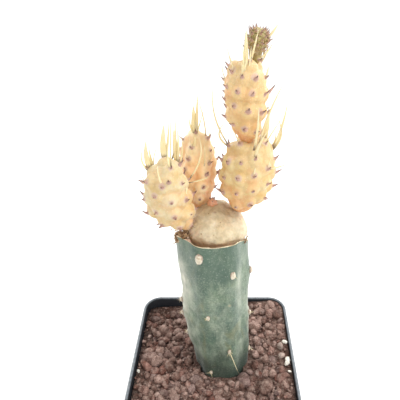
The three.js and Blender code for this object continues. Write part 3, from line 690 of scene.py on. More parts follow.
def stock_skin(green, bloom, dark):
    """Waxy grey-green skin: clouds and fine upright streaks of bloom, thicker in the grooves,
    with patchy pale bands on some crests, which are bloom and, along the left and right edges,
    also a painted highlight, and darker at the foot and under the cut. The cut has a corky lip
    and a dried ledge."""
    material, tree, shader, place = new_material("rootstock skin")
    rib, areole, low, top, cut, crest = marks_of(
        tree, "rib", "areole", "low", "top", "cut", "crest"
    )
    tall, thin = stretched(tree, place, 0.5), stretched(tree, place, 0.2)
    cloud = noise(tree, tall, 150.0, 5.0, 0.65, 0.5)
    streaks = noise(tree, thin, 520.0, 4.0, 0.6)
    shade = noise(tree, tall, 70.0, 4.0, 0.6)
    fine = noise(tree, place, 1100.0, 3.0, 0.6)
    olive = noise(tree, tall, 110.0, 3.0, 0.5, 1.0)
    waxy = times(tree, spread(tree, cloud, 0.4, 0.62), spread(tree, rib, 1, -1, 0.35, 1))
    paint(
        tree, shader, mottled(tree, place, 95.0, green, "#6c8068", 0.4),
        (times(tree, waxy, 0.6), bloom),
        (spread(tree, streaks, 0.5, 0.68, 0, 0.2), bloom),
        (spread(tree, streaks, 0.44, 0.3, 0, 0.25), dark),
        (spread(tree, shade, 0.48, 0.64, 0, 0.6), dark),
        (spread(tree, fine, 0.52, 0.68, 0, 0.3), bloom),
        (spread(tree, fine, 0.46, 0.3, 0, 0.35), dark),
        (spread(tree, olive, 0.56, 0.68, 0, 0.4), "#77754f"),
        (times(tree, top, 0.62), dark),
        (times(tree, low, 0.85), "#2c3d33"),
        # Pale bands: bloom, and along the left and right edges a painted highlight
        (times(tree, crest, spread(tree, cloud, 0.34, 0.6, 0.35, 0.85)), "#dcd8c6"),
        (times(tree, specked(tree, place, 1300.0, 0.26, 0.7), 0.3), "#cdd2c0"),
        (times(tree, specked(tree, place, 120.0, 0.13, 0.35), 0.45), "#b9a583"),
        (spread(tree, areole, 0.25, 1, 0, 0.6), "#46583f"),
        (spread(tree, cut, 0.3, 0.5), mottled(tree, place, 500.0, "#eadfc0", "#bda982", 0.35)),
        (spread(tree, cut, 1.15, 1.6), mottled(tree, place, 300.0, "#f2cdb8", "#d6a48c", 0.35)),
    )
    rough = spread(tree, cloud, 0.3, 0.7, 0.4, 0.58)
    tree.links.new(sums(tree, "MULTIPLY_ADD", cut, 0.2, rough), shader["Roughness"])
    shader["Sheen Weight"].default_value = 0.22
    shader["Sheen Roughness"].default_value = 0.35
    set_flesh(shader, 0.06, (0.6, 1.0, 0.5), 2.0)
    crinkles = noise(tree, thin, 700.0, 4.0)
    height = sums(tree, "MULTIPLY_ADD", crinkles, 1.6, grained(tree, place, 1800.0, 0.25))
    set_bump(tree, shader, height, 0.14)
    return material


def felt(pale, dark):
    """Felt of the areoles: short fibres in clouds of two browns, darker round the pad's foot."""
    material, tree, shader, place = new_material("areole felt", 0.9)
    clouds = noise(tree, place, 900.0, 4.0, 0.7)
    fibres = mixed(tree, spread(tree, clouds, 0.35, 0.65), dark, pale)
    paint(tree, shader, fibres, (times(tree, mark_of(tree, "shade"), 0.75), "#7d5f52"))
    shader["Sheen Weight"].default_value = 0.4
    set_bump(tree, shader, noise(tree, place, 4000.0, 4.0), 0.15)
    return material


def spine_horn():
    """Horn of the rootstock's spines: straw that darkens to a brown tip."""
    material, tree, shader, place = new_material("spine horn", 0.45)
    streaks = spread(tree, noise(tree, place, 1500.0, 2.0), 0.3, 0.7)
    straw = mixed(tree, streaks, "#e8dcb4", "#cbb98a")
    paint(tree, shader, straw, (spread(tree, mark_of(tree, "along"), 0.75, 1.0, 0, 0.8), "#8c6a45"))
    return material


def scion_skin():
    """Skin of the old lower segment: tan with greenish and pinkish clouds and corky specks, and
    painted shade towards its foot.
    """
    material, tree, shader, place = new_material("scion skin", 0.55)
    low, areole = marks_of(tree, "low", "areole")
    paint(
        tree, shader, mottled(tree, place, 110.0, "#e6d5b4", "#cdb892", 0.3),
        (spread(tree, noise(tree, place, 80.0), 0.4, 0.7, 0, 0.6), "#aca285"),
        (spread(tree, noise(tree, place, 140.0, 3.0, 0.6), 0.55, 0.72, 0, 0.5), "#d6a48e"),
        # Painted shade: darker towards the globe's foot
        (times(tree, low, 0.35), "#a58768"),
        (times(tree, specked(tree, place, 380.0, 0.17, 0.5), 0.75), "#7b5236"),
        (spread(tree, areole, 0.3, 1, 0, 0.8), "#9a7f6a"),
    )
    set_flesh(shader, 0.15, (1.0, 0.6, 0.3), 2.0)
    wrinkles = noise(tree, place, 260.0, 5.0, 0.65, 0.6)
    height = sums(tree, "MULTIPLY_ADD", wrinkles, 2.0, grained(tree, place, 900.0, 0.5))
    set_bump(tree, shader, height, 0.3)
    return material


def segment_skin(name, pale, deep, blush, orange):
    """Skin of a variegated segment: two pale colours in clouds, with painted shade in the grooves
    and a painted highlight on the tubercles' tops, orange by a strength at the foot, with a mauve
    ring round each areole and light pores."""
    material, tree, shader, place = new_material(name)
    areole, groove, low, hump, high = marks_of(tree, "areole", "groove", "low", "hump", "high")
    patches = spread(tree, noise(tree, place, 90.0, 3.0, 0.6, 0.5), 0.45, 0.7, 0, 0.7)
    ragged = sums(tree, "MULTIPLY_ADD", noise(tree, place, 600.0), 0.5, areole)
    paint(
        tree, shader, mottled(tree, place, 130.0, pale, deep, 0.12),
        (patches, blush),
        # Painted shade in the valleys between the tubercles
        (times(tree, groove, 0.35), blush),
        (times(tree, low, orange), "#d97f45"),
        # Painted highlight on the tubercles' tops
        (spread(tree, hump, 0.5, 1.0, 0, 0.25), pale),
        (times(tree, high, 0.3), "#c6b28a"),
        (times(tree, specked(tree, place, 1500.0, 0.25, 0.5), 0.3), "#fbf2dc"),
        (spread(tree, ragged, 0.4, 0.8, 0, 0.75), "#c9aa9c"),
        (spread(tree, ragged, 1.0, 1.3, 0, 0.7), "#9a7868"),
    )
    rough = spread(tree, noise(tree, place, 200.0), 0.3, 0.7, 0.42, 0.58)
    tree.links.new(rough, shader["Roughness"])
    set_flesh(shader, 0.18, (1.0, 0.55, 0.25), 2.5)
    wrinkles = noise(tree, place, 330.0, 4.0, 0.6, 0.8)
    height = sums(tree, "MULTIPLY_ADD", wrinkles, 1.5, grained(tree, place, 1300.0, 0.5))
    set_bump(tree, shader, height, 0.16)
    return material


def leaf_skin(name, foot, middle, tip):
    """Leaf: the body's colour at the foot, a middle colour above it and a darker tip."""
    material, tree, shader, place = new_material(name, 0.5)
    along = mark_of(tree, "along")
    uneven = sums(tree, "MULTIPLY_ADD", noise(tree, place, 900.0), 0.3, along)
    lower = mixed(tree, spread(tree, uneven, 0.15, 0.45), foot, middle)
    paint(tree, shader, lower, (spread(tree, uneven, 0.62, 1.02), tip))
    set_flesh(shader, 0.1, (1.0, 0.5, 0.4), 1.0)
    set_bump(tree, shader, noise(tree, place, 1500.0), 0.1)
    return material


def bristle():
    """Bristles: tan that turns brown towards the tip."""
    material, tree, shader, _ = new_material("bristles", 0.5)
    along = spread(tree, mark_of(tree, "along"), 0, 1)
    paint(tree, shader, mixed(tree, along, "#d9bb86", "#8a5a3a"))
    return material


def paper(cream, straw):
    """Papery spine: cream with straw fibres along it, olive-brown edges, a ragged dark root and
    a paler tip."""
    material, tree, shader, _ = new_material("paper spine", 0.6)
    along, across, own = marks_of(tree, "along", "across", "own")
    sockets = {
        "X": times(tree, across, 3.0), "Y": times(tree, along, 1.2), "Z": times(tree, own, 40.0),
    }
    fibres = add_node(tree, "ShaderNodeCombineXYZ", sockets).outputs[0]
    lines = noise(tree, fibres, 3.0, 5.0, 0.7)
    ragged = sums(tree, "MULTIPLY_ADD", lines, 0.2, along)
    paint(
        tree, shader, mixed(tree, spread(tree, lines, 0.35, 0.65), straw, cream),
        (spread(tree, sums(tree, "ABSOLUTE", across), 0.6, 1.0, 0, 0.7), "#b09d68"),
        (spread(tree, ragged, 0.16, 0.34, 0.92, 0), "#5a412c"),
        (spread(tree, along, 0.5, 1.0, 0, 0.25), "#f1e9cf"),
    )
    set_flesh(shader, 0.25, (1.0, 0.8, 0.5), 0.6)
    set_bump(tree, shader, lines, 0.08)
    return material


def dried_tissue():
    """Dried bits: light tan with whitish flakes, and darker brown by a mark: painted shade in the
    folds of the lumps, and a random tone on the strands and shreds.
    """
    material, tree, shader, place = new_material("dried tissue", 0.85)
    paint(
        tree, shader, mottled(tree, place, 520.0, "#cbae86", "#957250", 0.6),
        (spread(tree, noise(tree, place, 420.0, 4.0), 0.5, 0.66, 0, 0.85), "#dccdb0"),
        # Painted shade in the folds of the tuft's lumps, and a random darker tone on strands and
        # shreds
        (spread(tree, mark_of(tree, "hollow"), 0.3, 0.9, 0, 0.75), "#4a3325"),
    )
    set_bump(tree, shader, noise(tree, place, 1500.0, 6.0, 0.7), 0.4)
    return material


# --- Pot and filling ---


def square_rings(halves, corners, heights):
    """Rings of a square with rounded corners, one for each half width, corner and height."""
    quarter = np.arange(4)[:, None]
    turn = (TAU / 4 * (quarter + np.arange(CORNER_STEPS + 1) / CORNER_STEPS)).ravel()
    diagonal = np.repeat(TAU * (np.arange(4) / 4 + 1 / 8), CORNER_STEPS + 1)
    halves, corners, heights = (np.asarray(v, float)[:, None] for v in (halves, corners, heights))
    x = np.sign(np.cos(diagonal)) * (halves - corners) + corners * np.cos(turn)
    y = np.sign(np.sin(diagonal)) * (halves - corners) + corners * np.sin(turn)
    return np.stack([x, y, np.broadcast_to(heights, x.shape)], -1)


def outer_half(z):
    """Half width of the pot outside, at a height under its collar."""
    share = (z - POT["floor_under"]) / (POT["collar_foot"] - POT["floor_under"])
    return POT["base_half"] + (POT["shoulder_half"] - POT["base_half"]) * share


def inner_half(z):
    """Half width of the pot inside."""
    return outer_half(min(z, POT["collar_foot"])) - POT["wall"]


def upright(radius, bottom, top, x, y, around=40):
    """Round disc with softened edges, as a closed loft of circles."""
    rounding = 0.25
    turn = turns(around)
    circle = np.stack([np.cos(turn), np.sin(turn), 0 * turn], -1)
    rings = [
        circle * reach + (x, y, z)
        for reach, z in (
            (radius - rounding, bottom), (radius, bottom + rounding),
            (radius, top - rounding), (radius - rounding, top),
        )
    ]
    return closed_loft(np.stack(rings))


def pot_shell():
    """Profile of half widths and heights, carried round a square with rounded corners.

    It runs from the base up the outside, over the rounded rim and down the inside to the floor.
    """
    height, rim, foot, inner = POT["height"], POT["rim_half"], POT["collar_foot"], RIM_INSIDE
    base, under = POT["base_half"], POT["floor_under"]
    profile = [
        (base - 1.2, under, 0), (base - 0.5, under + 0.15, 0), (base - 0.1, under + 0.6, 0),
        (outer_half(under + 1.5), under + 1.5, 0), (outer_half(foot) - 0.05, foot - 0.2, 0),
        (outer_half(foot) + 0.15, foot, 0), (POT["collar_half"] - 0.3, foot + 0.1, 0),
        (POT["collar_half"], foot + 0.4, 0), (rim - 0.35, height - 1.6, 0),
        (rim - 0.12, height - 1.3, 0), (rim, height - 0.85, 0), (rim - 0.05, height - 0.4, 0),
        (rim - 0.25, height - 0.12, 0), (rim - 0.6, height, 0), (inner + 0.6, height, 1),
        (inner + 0.2, height - 0.12, 1), (inner, height - 0.5, 1),
        (inner, foot + POT["wall"] + 0.6, 1), (inner - 0.3, foot + POT["wall"], 1),
        (inner_half(foot) + 0.2, foot - 0.3, 1), (inner_half(foot), foot - 0.8, 1),
        (inner_half(POT["floor_top"] + 1), POT["floor_top"] + 1, 1),
        (inner_half(POT["floor_top"]) - 0.8, POT["floor_top"], 1),
    ]
    halves, heights, inside = (np.array(column, float) for column in zip(*profile))
    corners = POT["corner"] - POT["wall"] * inside
    return closed_loft(square_rings(halves, corners, heights))


def stock_share(z):
    """Share of the way from the rootstock's foot to its cut."""
    return (z - STOCK["foot"][2]) / (STOCK["cut"][2] - STOCK["foot"][2])


def stock_middle(share):
    """Points on the rootstock's straight middle line."""
    foot, cut = np.array(STOCK["foot"], float), np.array(STOCK["cut"], float)
    return foot + (cut - foot) * np.asarray(share, float)[..., None]


def stock_radius(share):
    """Radius of the rootstock without its ribs."""
    return STOCK["foot_radius"] + (STOCK["cut_radius"] - STOCK["foot_radius"]) * share


def rib_twist(z):
    """Turn of the first rib in degrees, which grows with the height."""
    return STOCK["rib_turn"] + STOCK["rib_twist"] * (z - STOCK["twist_from"])


def gravel_level(x, y):
    """Level that rises to the right and back, with a parabola's heap at the left and right
    walls and a bell-shaped dip at the back left."""
    dip_x, dip_y = FILL["dip_place"]
    heaped = FILL["heap"] * (x / RIM_INSIDE) ** 2
    dip = bell((x - dip_x) / FILL["dip_reach"], (y - dip_y) / FILL["dip_reach"])
    level = FILL["level"] + FILL["rise_right"] * x + FILL["rise_back"] * y
    return level + heaped - FILL["dip"] * dip


def stone_level(x, y):
    """The gravel's level with small banks of stones along the left and back walls."""
    left = bell((x + POT["rim_half"]) / FILL["left_bank_reach"])
    back = bell((y - POT["rim_half"]) / FILL["back_bank_reach"])
    bank = np.maximum(left * step(*FILL["left_bank_ends"], y), back)
    return gravel_level(x, y) + FILL["bank"] * bank


def gravel_bed():
    """Bed between the pot's wall and the rootstock's hole: a section of four corners carried
    round, whose outer side is a rounded square and whose inner side is a circle."""
    low = FILL["soil_top"] + GAP
    outline = square_rings([RIM_INSIDE - GAP], [INNER_CORNER], [0])[0]
    share = stock_share(FILL["level"])
    middle = stock_middle(share)
    radius = stock_radius(share) + STOCK["rib_depth"] + 1.2 * GAP
    way = unit((outline - middle) * (1, 1, 0))
    hole = middle * (1, 1, 0) + way * radius
    sides = []
    for part in np.linspace(0, 1, 9):
        ring = outline + (hole - outline) * part
        lift = stone_level(ring[:, 0], ring[:, 1]) - FILL["bed_depth"]
        sides.append(np.stack([ring[:, 0], ring[:, 1], lift], -1))
    sides.append(hole + (0, 0, low))
    sides.append(square_rings([inner_half(low) - GAP], [INNER_CORNER], [low])[0])
    rows, around = len(sides), len(outline)
    k, row = np.arange(around), np.arange(rows)[:, None]
    after, up = (k + 1) % around, (row + 1) % rows
    quads = np.stack(
        [row * around + k, row * around + after, up * around + after, up * around + k], -1
    ).reshape(-1, 4)
    points = np.stack(sides).reshape(-1, 3)
    return patch(points, quads, hue=np.full(len(points), 0.4))


def round_stone(splits):
    """Points and triangles of a unit ball: an icosahedron, split into smaller triangles."""
    ball = bmesh.new()
    bmesh.ops.create_icosphere(ball, subdivisions=splits, radius=1)
    points = np.array([vertex.co for vertex in ball.verts])
    triangles = np.array([[vertex.index for vertex in face.verts] for face in ball.faces])
    ball.free()
    return unit(points), triangles


def turned(draw, count):
    """Random turns, as matrices made from random quaternions."""
    w, x, y, z = unit(draw.normal(size=(count, 4))).T
    rows = [
        [1 - 2 * (y * y + z * z), 2 * (x * y - z * w), 2 * (x * z + y * w)],
        [2 * (x * y + z * w), 1 - 2 * (x * x + z * z), 2 * (y * z - x * w)],
        [2 * (x * z - y * w), 2 * (y * z + x * w), 1 - 2 * (x * x + y * y)],
    ]
    return np.moveaxis(np.array(rows), -1, 0)


def stone_places(draw, spacing, layer):
    """Places of a layer of stones: staggered rows, moved at random, under the stones' level."""
    wider, sink, jitter = STONE_LAYERS[layer]
    spacing = spacing * wider
    count = int((RIM_INSIDE - GAP) / spacing) + 2
    k, row = np.meshgrid(np.arange(-count, count + 1), np.arange(-count * 1.2, count * 1.2))
    x = (k + 0.5 * (np.arange(k.shape[0])[:, None] % 2)) * spacing
    y = row * spacing * math.sqrt(3) / 2
    spots = np.stack([x.ravel(), y.ravel()], -1)
    spots += (draw.uniform(size=spots.shape) - 0.5) * jitter * spacing
    drop = sink + (draw.uniform(size=len(spots)) - 0.5) * STONES["depth_range"]
    return np.column_stack([spots, stone_level(*spots.T) - drop])


def inside_pot(places, radii):
    """Whether stones lie clear of the pot's wall and of the rootstock."""
    limit = RIM_INSIDE - GAP - radii * 0.95
    share = stock_share(FILL["level"])
    off = np.linalg.norm(places[:, :2] - stock_middle(share)[:2], axis=1)
    off_corners = np.abs(places[:, :2]).sum(1) < 2 * limit - STONES["off_corners"]
    off_stock = off > stock_radius(share) + STONES["off_rootstock"] + radii
    return (np.abs(places[:, :2]).max(1) < limit) & off_stock & off_corners


def broken_stones(draw, places, radii, pale, splits):
    """Stones: balls whose points are pulled in to random planes and moved a little in or out,
    then stretched, turned and set in place."""
    ball, triangles = round_stone(splits)
    count = len(places)
    planes = unit(draw.normal(size=(count, STONES["planes"], 3)))
    offset = draw.uniform(*STONES["plane_depths"], (count, STONES["planes"], 1))
    facing = planes @ ball.T
    pull = np.where(facing > offset, offset / np.maximum(facing, 1e-3), 1).min(1)
    pull = pull * (1 + STONES["roughness"] * draw.normal(size=pull.shape))
    stones = ball * pull[..., None] * draw.uniform(*STONES["stretch"], (count, 1, 3))
    stones = np.einsum("nij,nvj->nvi", turned(draw, count), stones)
    stones = stones * (radii[:, None, None] * STONES["flatness"]) + places[:, None]
    faces = triangles + (np.arange(count) * len(ball))[:, None, None]
    marks = {
        "tone": np.repeat(draw.uniform(size=count), len(ball)),
        "hue": np.repeat(draw.uniform(size=count), len(ball)),
        "pale": np.repeat(pale, len(ball)),
    }
    return patch(stones.reshape(-1, 3), triangles=faces.reshape(-1, 3), **marks)


def gravel_stones(size, spacing):
    """Two layers of stones of very uneven sizes, the pumice bits, and crumbs between them."""
    draw = np.random.default_rng(4127)
    low, high = (stone_places(draw, spacing, layer) for layer in ("low", "high"))
    high = high[draw.uniform(size=len(high)) < STONES["kept_high"]]
    places = np.concatenate([low, high])
    uneven = np.exp(STONES["unevenness"] * draw.normal(size=len(places)))
    radii = size / 2 * np.clip(uneven, STONES["smallest"], STONES["largest"])
    kept = inside_pot(places, radii)
    places, radii = places[kept], radii[kept]
    pumice = np.array(PUMICE)
    apart = np.linalg.norm(places[:, None, :2] - pumice[:, :2], axis=-1)
    clear = (apart > pumice[:, 2] + 0.6 * radii[:, None]).all(1)
    places, radii = places[clear], radii[clear]
    tops = np.column_stack([pumice[:, :2], stone_level(*pumice[:, :2].T) + 0.2])
    pale = np.concatenate([np.zeros(len(places)), pumice[:, 3]])
    places, radii = np.concatenate([places, tops]), np.concatenate([radii, pumice[:, 2]])
    crumbs = stone_places(draw, spacing, "crumbs")
    fine = draw.uniform(*STONES["crumb_radii"], len(crumbs))
    drawn = draw.uniform(size=len(crumbs)) < STONES["kept_crumbs"]
    kept = inside_pot(crumbs, fine) & drawn
    crumbs, fine = crumbs[kept], fine[kept]
    return [
        broken_stones(draw, places, radii, pale, 2),
        broken_stones(draw, crumbs, fine, np.zeros(len(crumbs)), 1),
    ]


# --- Rootstock ---


def stock_areoles():
    """Places of the areoles on the ribs and the way each one faces, as on the CAD solid."""
    rows = []
    for rib, heights in enumerate(AREOLE_HEIGHTS):
        for z, aside in zip(heights, AREOLE_ASIDE[rib]):
            share = min(stock_share(z), 1)
            turn = math.radians(rib_twist(z) + aside + 360 * rib / STOCK["ribs"])
            radius = stock_radius(share)
            edge = STOCK["cut"][2] - STOCK["cut_slope"] * radius * math.sin(turn)
            if z > edge - 2 * AREOLE["radius"]:
                continue
            x, y, _ = stock_middle(share)
            reach = radius + STOCK["rib_depth"] * math.cos(math.radians(STOCK["ribs"] * aside))
            place = (x + reach * math.cos(turn), y + reach * math.sin(turn), z)
            long = rib == AREOLE["long_rib"] and z < AREOLE["long_below"]
            rows.append((*place, math.cos(turn), math.sin(turn), 0, long, rib))
    rows = np.array(rows)
    return rows[:, :3], rows[:, 3:6], rows[:, 6] > 0, rows[:, 7]


def off_seat(points, seat):
    """How far points lie from an areole, across and up."""
    return np.linalg.norm((points - seat)[..., :2], axis=-1), points[..., 2] - seat[2]


def stock_swell(points, out, seats, ribs):
    """How far the skin swells outwards: waves of three lengths, a hump with a notch above it at
    each areole, and a bulge at the left above a narrower foot."""
    swell = ripples(points, SKIN_WAVES)
    height = points[..., 2]
    for seat, own in zip(seats, ribs):
        across, up = off_seat(points, seat)
        hump = bell(across / SWELL["hump_wide"], (up + SWELL["hump_drop"]) / SWELL["hump_tall"])
        swell = swell + HIGH_HUMPS.get(own, SWELL["hump"]) * hump
        arch = up - SWELL["notch_rise"] + SWELL["notch_arch"] * across
        notch = bell(arch / SWELL["notch_tall"], across / SWELL["notch_wide"])
        swell = swell - SWELL["notch"] * notch
    left, right = np.clip(-out[..., 0], 0, 1), np.clip(out[..., 0], 0, 1)
    bulge = bell((height - SWELL["bulge_height"]) / SWELL["bulge_tall"])
    swell = swell + left**2 * (SWELL["left"] + SWELL["bulge"] * bulge)
    swell = swell - SWELL["right"] * right**2 * step(*SWELL["right_heights"], height)
    return swell - SWELL["foot"] * step(*SWELL["foot_heights"], height)


def lip_rise(turn):
    """How far the lip curls up above the cut's plane: bells round two turns."""
    return sum(
        height * bell(turned_off(turn, middle) / math.radians(reach))
        for middle, height, reach in STOCK["rises"]
    )


def bloom_and_highlight_bands(turn, height):
    """Strength of the pale bands of bloom and painted highlight: bells round a turn and a height.
    """
    return sum(
        strength * bell(turned_off(turn, middle) / math.radians(wide), (height - level) / tall)
        for middle, wide, level, tall, strength in BLOOM_AND_EDGE_HIGHLIGHT
    )


def stock_surface(around, rows):
    """Rootstock: rings whose middle moves along a line and whose plane tips towards the cut.

    The reach is the radius plus a cosine of the ribs plus the skin's swelling. Over the edge,
    rings go in over a thin corky lip, which curls up in places, and down to the dried ledge.
    """
    body = np.concatenate([[0, 0.02], np.linspace(0.06, 1, rows)])
    lip_reach, lip_lift, lip_risen, lip_cut = LIP.T
    over = len(LIP)
    scale = np.concatenate([[0.8, 0.93], np.ones(rows), lip_reach])
    lift = np.concatenate([np.zeros(rows + 2), lip_lift])
    risen = np.concatenate([step(0.88, 1, body), lip_risen])
    share = np.concatenate([body, np.ones(over)])
    ribbed = np.concatenate([[0, 0], np.clip(body[2:] / 0.1, 0, 1), np.linspace(0.8, 0, over)])
    cut = np.concatenate([np.zeros(rows + 1), [0.2], lip_cut])
    skin = np.concatenate([np.ones(rows + 2), np.linspace(0.9, 0, over)])
    middle = stock_middle(share)
    slope = STOCK["cut_slope"] * share**3
    turn = turns(around)
    rib = np.cos(STOCK["ribs"] * turn)
    reach = (stock_radius(share) * scale)[:, None]
    reach = reach + (ribbed * STOCK["rib_depth"])[:, None] * rib
    turned_by = turn + np.radians(rib_twist(middle[:, 2:]))
    x = reach * np.cos(turned_by)
    y = reach * np.sin(turned_by)
    z = middle[:, 2:] + lift[:, None] - slope[:, None] * y
    rings = np.stack([middle[:, :1] + x, middle[:, 1:2] + y, z], -1)
    out = unit(np.stack([x, y, 0 * x], -1))
    seats, _, _, ribs = stock_areoles()
    near = np.zeros(rings.shape[:2])
    for seat in seats:
        across, up = off_seat(rings, seat)
        near = np.maximum(near, bell(across / AREOLE["mark_wide"], up / AREOLE["mark_tall"]))
    rings = rings + out * (stock_swell(rings, out, seats, ribs) * skin[:, None])[..., None]
    edge = np.clip(cut, 0, 1)[:, None] * ripples(rings, EDGE_WAVES)
    rings[..., 2] += edge + risen[:, None] * lip_rise(turned_by)
    height = rings[..., 2]
    above = (height - FILL["level"]) / (STOCK["cut"][2] - FILL["level"])
    return closed_loft(
        rings,
        rib=rib,
        # Pale bands: bloom, and along the left and right edges a painted highlight
        crest=bloom_and_highlight_bands(turned_by, height) * (0.75 + 0.25 * waves(rings, 6, 10)),
        areole=near,
        low=1 - step(0.02, 0.3, above + 0.05 * waves(rings, 14, 8)),
        top=step(0.78, 1.0, above + 0.06 * waves(rings, 12, 9)),
        cut=cut[:, None],
    )


def basis(ways):
    """Two directions square to each given way, both square to each other."""
    helper = np.where(np.abs(ways[..., 2:]) > 0.9, (1.0, 0, 0), (0, 0, 1.0))
    side = unit(np.cross(helper, ways))
    return side, np.cross(ways, side)


def felt_pads(places, ways, sizes):
    """Oval felt pads: half balls, flattened along the way they face and roughened by noise."""
    rows, around = 9, 20
    half_width, half_height, thickness = 0.72, 1.1, 0.62
    lat = np.linspace(-0.5, 1.45, rows)[:, None]
    turn = turns(around)
    side, up = basis(ways)
    rings = (
        np.cos(lat)[..., None] * np.cos(turn)[:, None] * side[:, None, None] * half_width
        + np.cos(lat)[..., None] * np.sin(turn)[:, None] * up[:, None, None] * half_height
        + np.sin(lat)[..., None] * np.ones((around, 1)) * ways[:, None, None] * thickness
    )
    rings = places[:, None, None] + rings * sizes[:, None, None, None]
    rough = 1 + ripples(rings, FELT_WAVES)
    rings = places[:, None, None] + (rings - places[:, None, None]) * rough[..., None]
    return [closed_loft(ring, shade=step(0.75, 0.1, lat)) for ring in rings]


def cones(roots, ways, lengths, radius, material, rows, around, bow, seed):
    """Thin tapered spines: straight lines from each root, bent a little to one side.

    The radius at the root is one for all of them, or one for each.
    """
    share = np.linspace(0, 1, rows)[:, None]
    side, up = basis(ways)
    draw = np.random.default_rng(seed)
    lean = draw.normal(size=(len(roots), 2)) * bow
    bent = side * lean[:, :1] + up * lean[:, 1:]
    line = ways[:, None] * share + bent[:, None] * share**2
    paths = roots[:, None] + line * lengths[:, None, None]
    radii = np.broadcast_to(radius, lengths.shape)
    taper = radii[:, None] * (1 - 0.88 * share[:, 0] ** 1.3)
    return swept(paths, side[:, None], taper, taper, around, material, along=share[:, 0])


def scattered_ways(draw, ways, count, spread_by):
    """Ways at random round each given way, a count of them for each in turn."""
    side, up = basis(ways)
    lean = draw.normal(size=(len(ways), count, 2)) * spread_by
    made = ways[:, None] + side[:, None] * lean[..., :1] + up[:, None] * lean[..., 1:]
    return unit(made).reshape(-1, 3)


def stock_armour():
    """Felt, hairs and short spines of the rootstock's areoles, with one long pale spine."""
    places, ways, long, ribs = stock_areoles()
    woolly = np.isin(ribs, WOOLLY_RIBS)
    sizes = np.interp(places[:, 2], AREOLE["size_heights"], AREOLE["sizes"])
    sizes = sizes * np.where(woolly, AREOLE["woolly"], 1)
    seats = places + ways * (stock_swell(places, ways, places, ribs)[:, None] - 0.1)
    pads = felt_pads(seats, ways, sizes)
    draw = np.random.default_rng(31)
    hairs = AREOLE["hairs"]
    hair_ways = scattered_ways(draw, ways, hairs, AREOLE["hair_spread"])
    spots = draw.normal(size=(len(places), hairs, 3)) * AREOLE["hair_scatter"]
    roots = (seats + ways * 0.4)[:, None] + spots * sizes[:, None, None]
    longer = np.repeat(1 + AREOLE["woolly_hair"] * woolly, hairs)
    lengths = draw.uniform(*AREOLE["hair_lengths"], len(hair_ways)) * longer
    roots = roots.reshape(-1, 3)
    hair = cones(roots, hair_ways, lengths, AREOLE["hair_radius"], 0, 3, 3, 0.3, 5)
    count = AREOLE["spines"]
    spine_ways = scattered_ways(draw, ways, count, AREOLE["spine_spread"])
    roots = np.repeat(seats + ways * 0.3, count, 0)
    lengths = draw.uniform(*AREOLE["spine_lengths"], len(spine_ways))
    spines = cones(roots, spine_ways, lengths, AREOLE["spine_radius"], 1, 5, 6, 0.1, 6)
    out = ways[long]
    aside = np.stack([-out[:, 1], out[:, 0], 0 * out[:, 0]], -1)
    aim = unit(out * 0.5 + aside * 0.25 - np.array((0, 0, 0.95)))
    length = np.full(len(out), AREOLE["long_length"])
    long_spine = cones(seats[long], aim, length, AREOLE["long_radius"], 1, 8, 8, 0.03, 7)
    return [*pads, hair, spines, long_spine]


# --- Scion ---


def scion_surface():
    """Scion base: level rings on a waist that widens over a shoulder to a globe.

    The globe's radius is one minus the height's share to a power, to one over that power, and
    the rings' slope fades from the cut's slope to none on top. Low swellings carry old areoles.
    """
    around, rows = 160, 90
    low = np.linspace(GAP - STOCK["ledge_depth"], SCION["waist_height"], 5)
    neck = np.linspace(SCION["waist_height"], SCION["shoulder"], 7)[1:]
    climb = np.sin(np.linspace(0, TAU / 4 * 0.985, rows))[1:]
    above = SCION["height"] - SCION["shoulder"]
    height = np.concatenate([low, neck, SCION["shoulder"] + above * climb])
    climb = np.clip((height - SCION["shoulder"]) / above, 0, 1)
    full = SCION["radius"] * (1 - climb ** SCION["fullness"]) ** (1 / SCION["fullness"])
    widened = step(0, SCION["full_height"], height)
    radius = SCION["waist"] + (full - SCION["waist"]) * widened
    share = np.clip(height / SCION["height"], 0, 1)
    slope = STOCK["cut_slope"] * (1 - share) ** SCION["levelling"]
    turn = turns(around)
    across = radius[:, None] * np.sin(turn)
    x = STOCK["cut"][0] + SCION["lean"][0] + radius[:, None] * np.cos(turn)
    y = STOCK["cut"][1] + (SCION["lean"][1] * share)[:, None] + across
    z = STOCK["cut"][2] + height[:, None] - slope[:, None] * across
    rings = np.stack([x, y, z], -1)
    middle = np.array(SCION["middle"])
    out = unit(rings - middle)
    count = SCION["swellings"]
    ways = ways_of(
        math.radians(GOLDEN_TURN) * np.arange(count),
        np.linspace(*SCION["swelling_levels"], count),
    )
    spots = middle + ways * SCION["swelling_reach"]
    near = np.linalg.norm(rings[:, :, None] - spots, axis=-1).min(-1)
    swell = ripples(rings, SCION_WAVES)
    swell = swell + SCION["swelling"] * bell(near / SCION["swelling_wide"])
    folds = np.sin(SCION["creases"] * turn + 2.5 * waves(rings, 9, 44))
    creases = SCION["crease"] * folds * (1 - step(0.2, 0.5, share)[:, None])
    fade = step(0.5, 4, height)[:, None]
    rings = rings + out * ((swell + creases) * fade)[..., None]
    return closed_loft(
        rings,
        # The low mark darkens the globe's lower part in its skin: painted shade
        low=1 - step(0.1, 0.45, share)[:, None],
        areole=bell(near / SCION["scar_wide"]),
    )


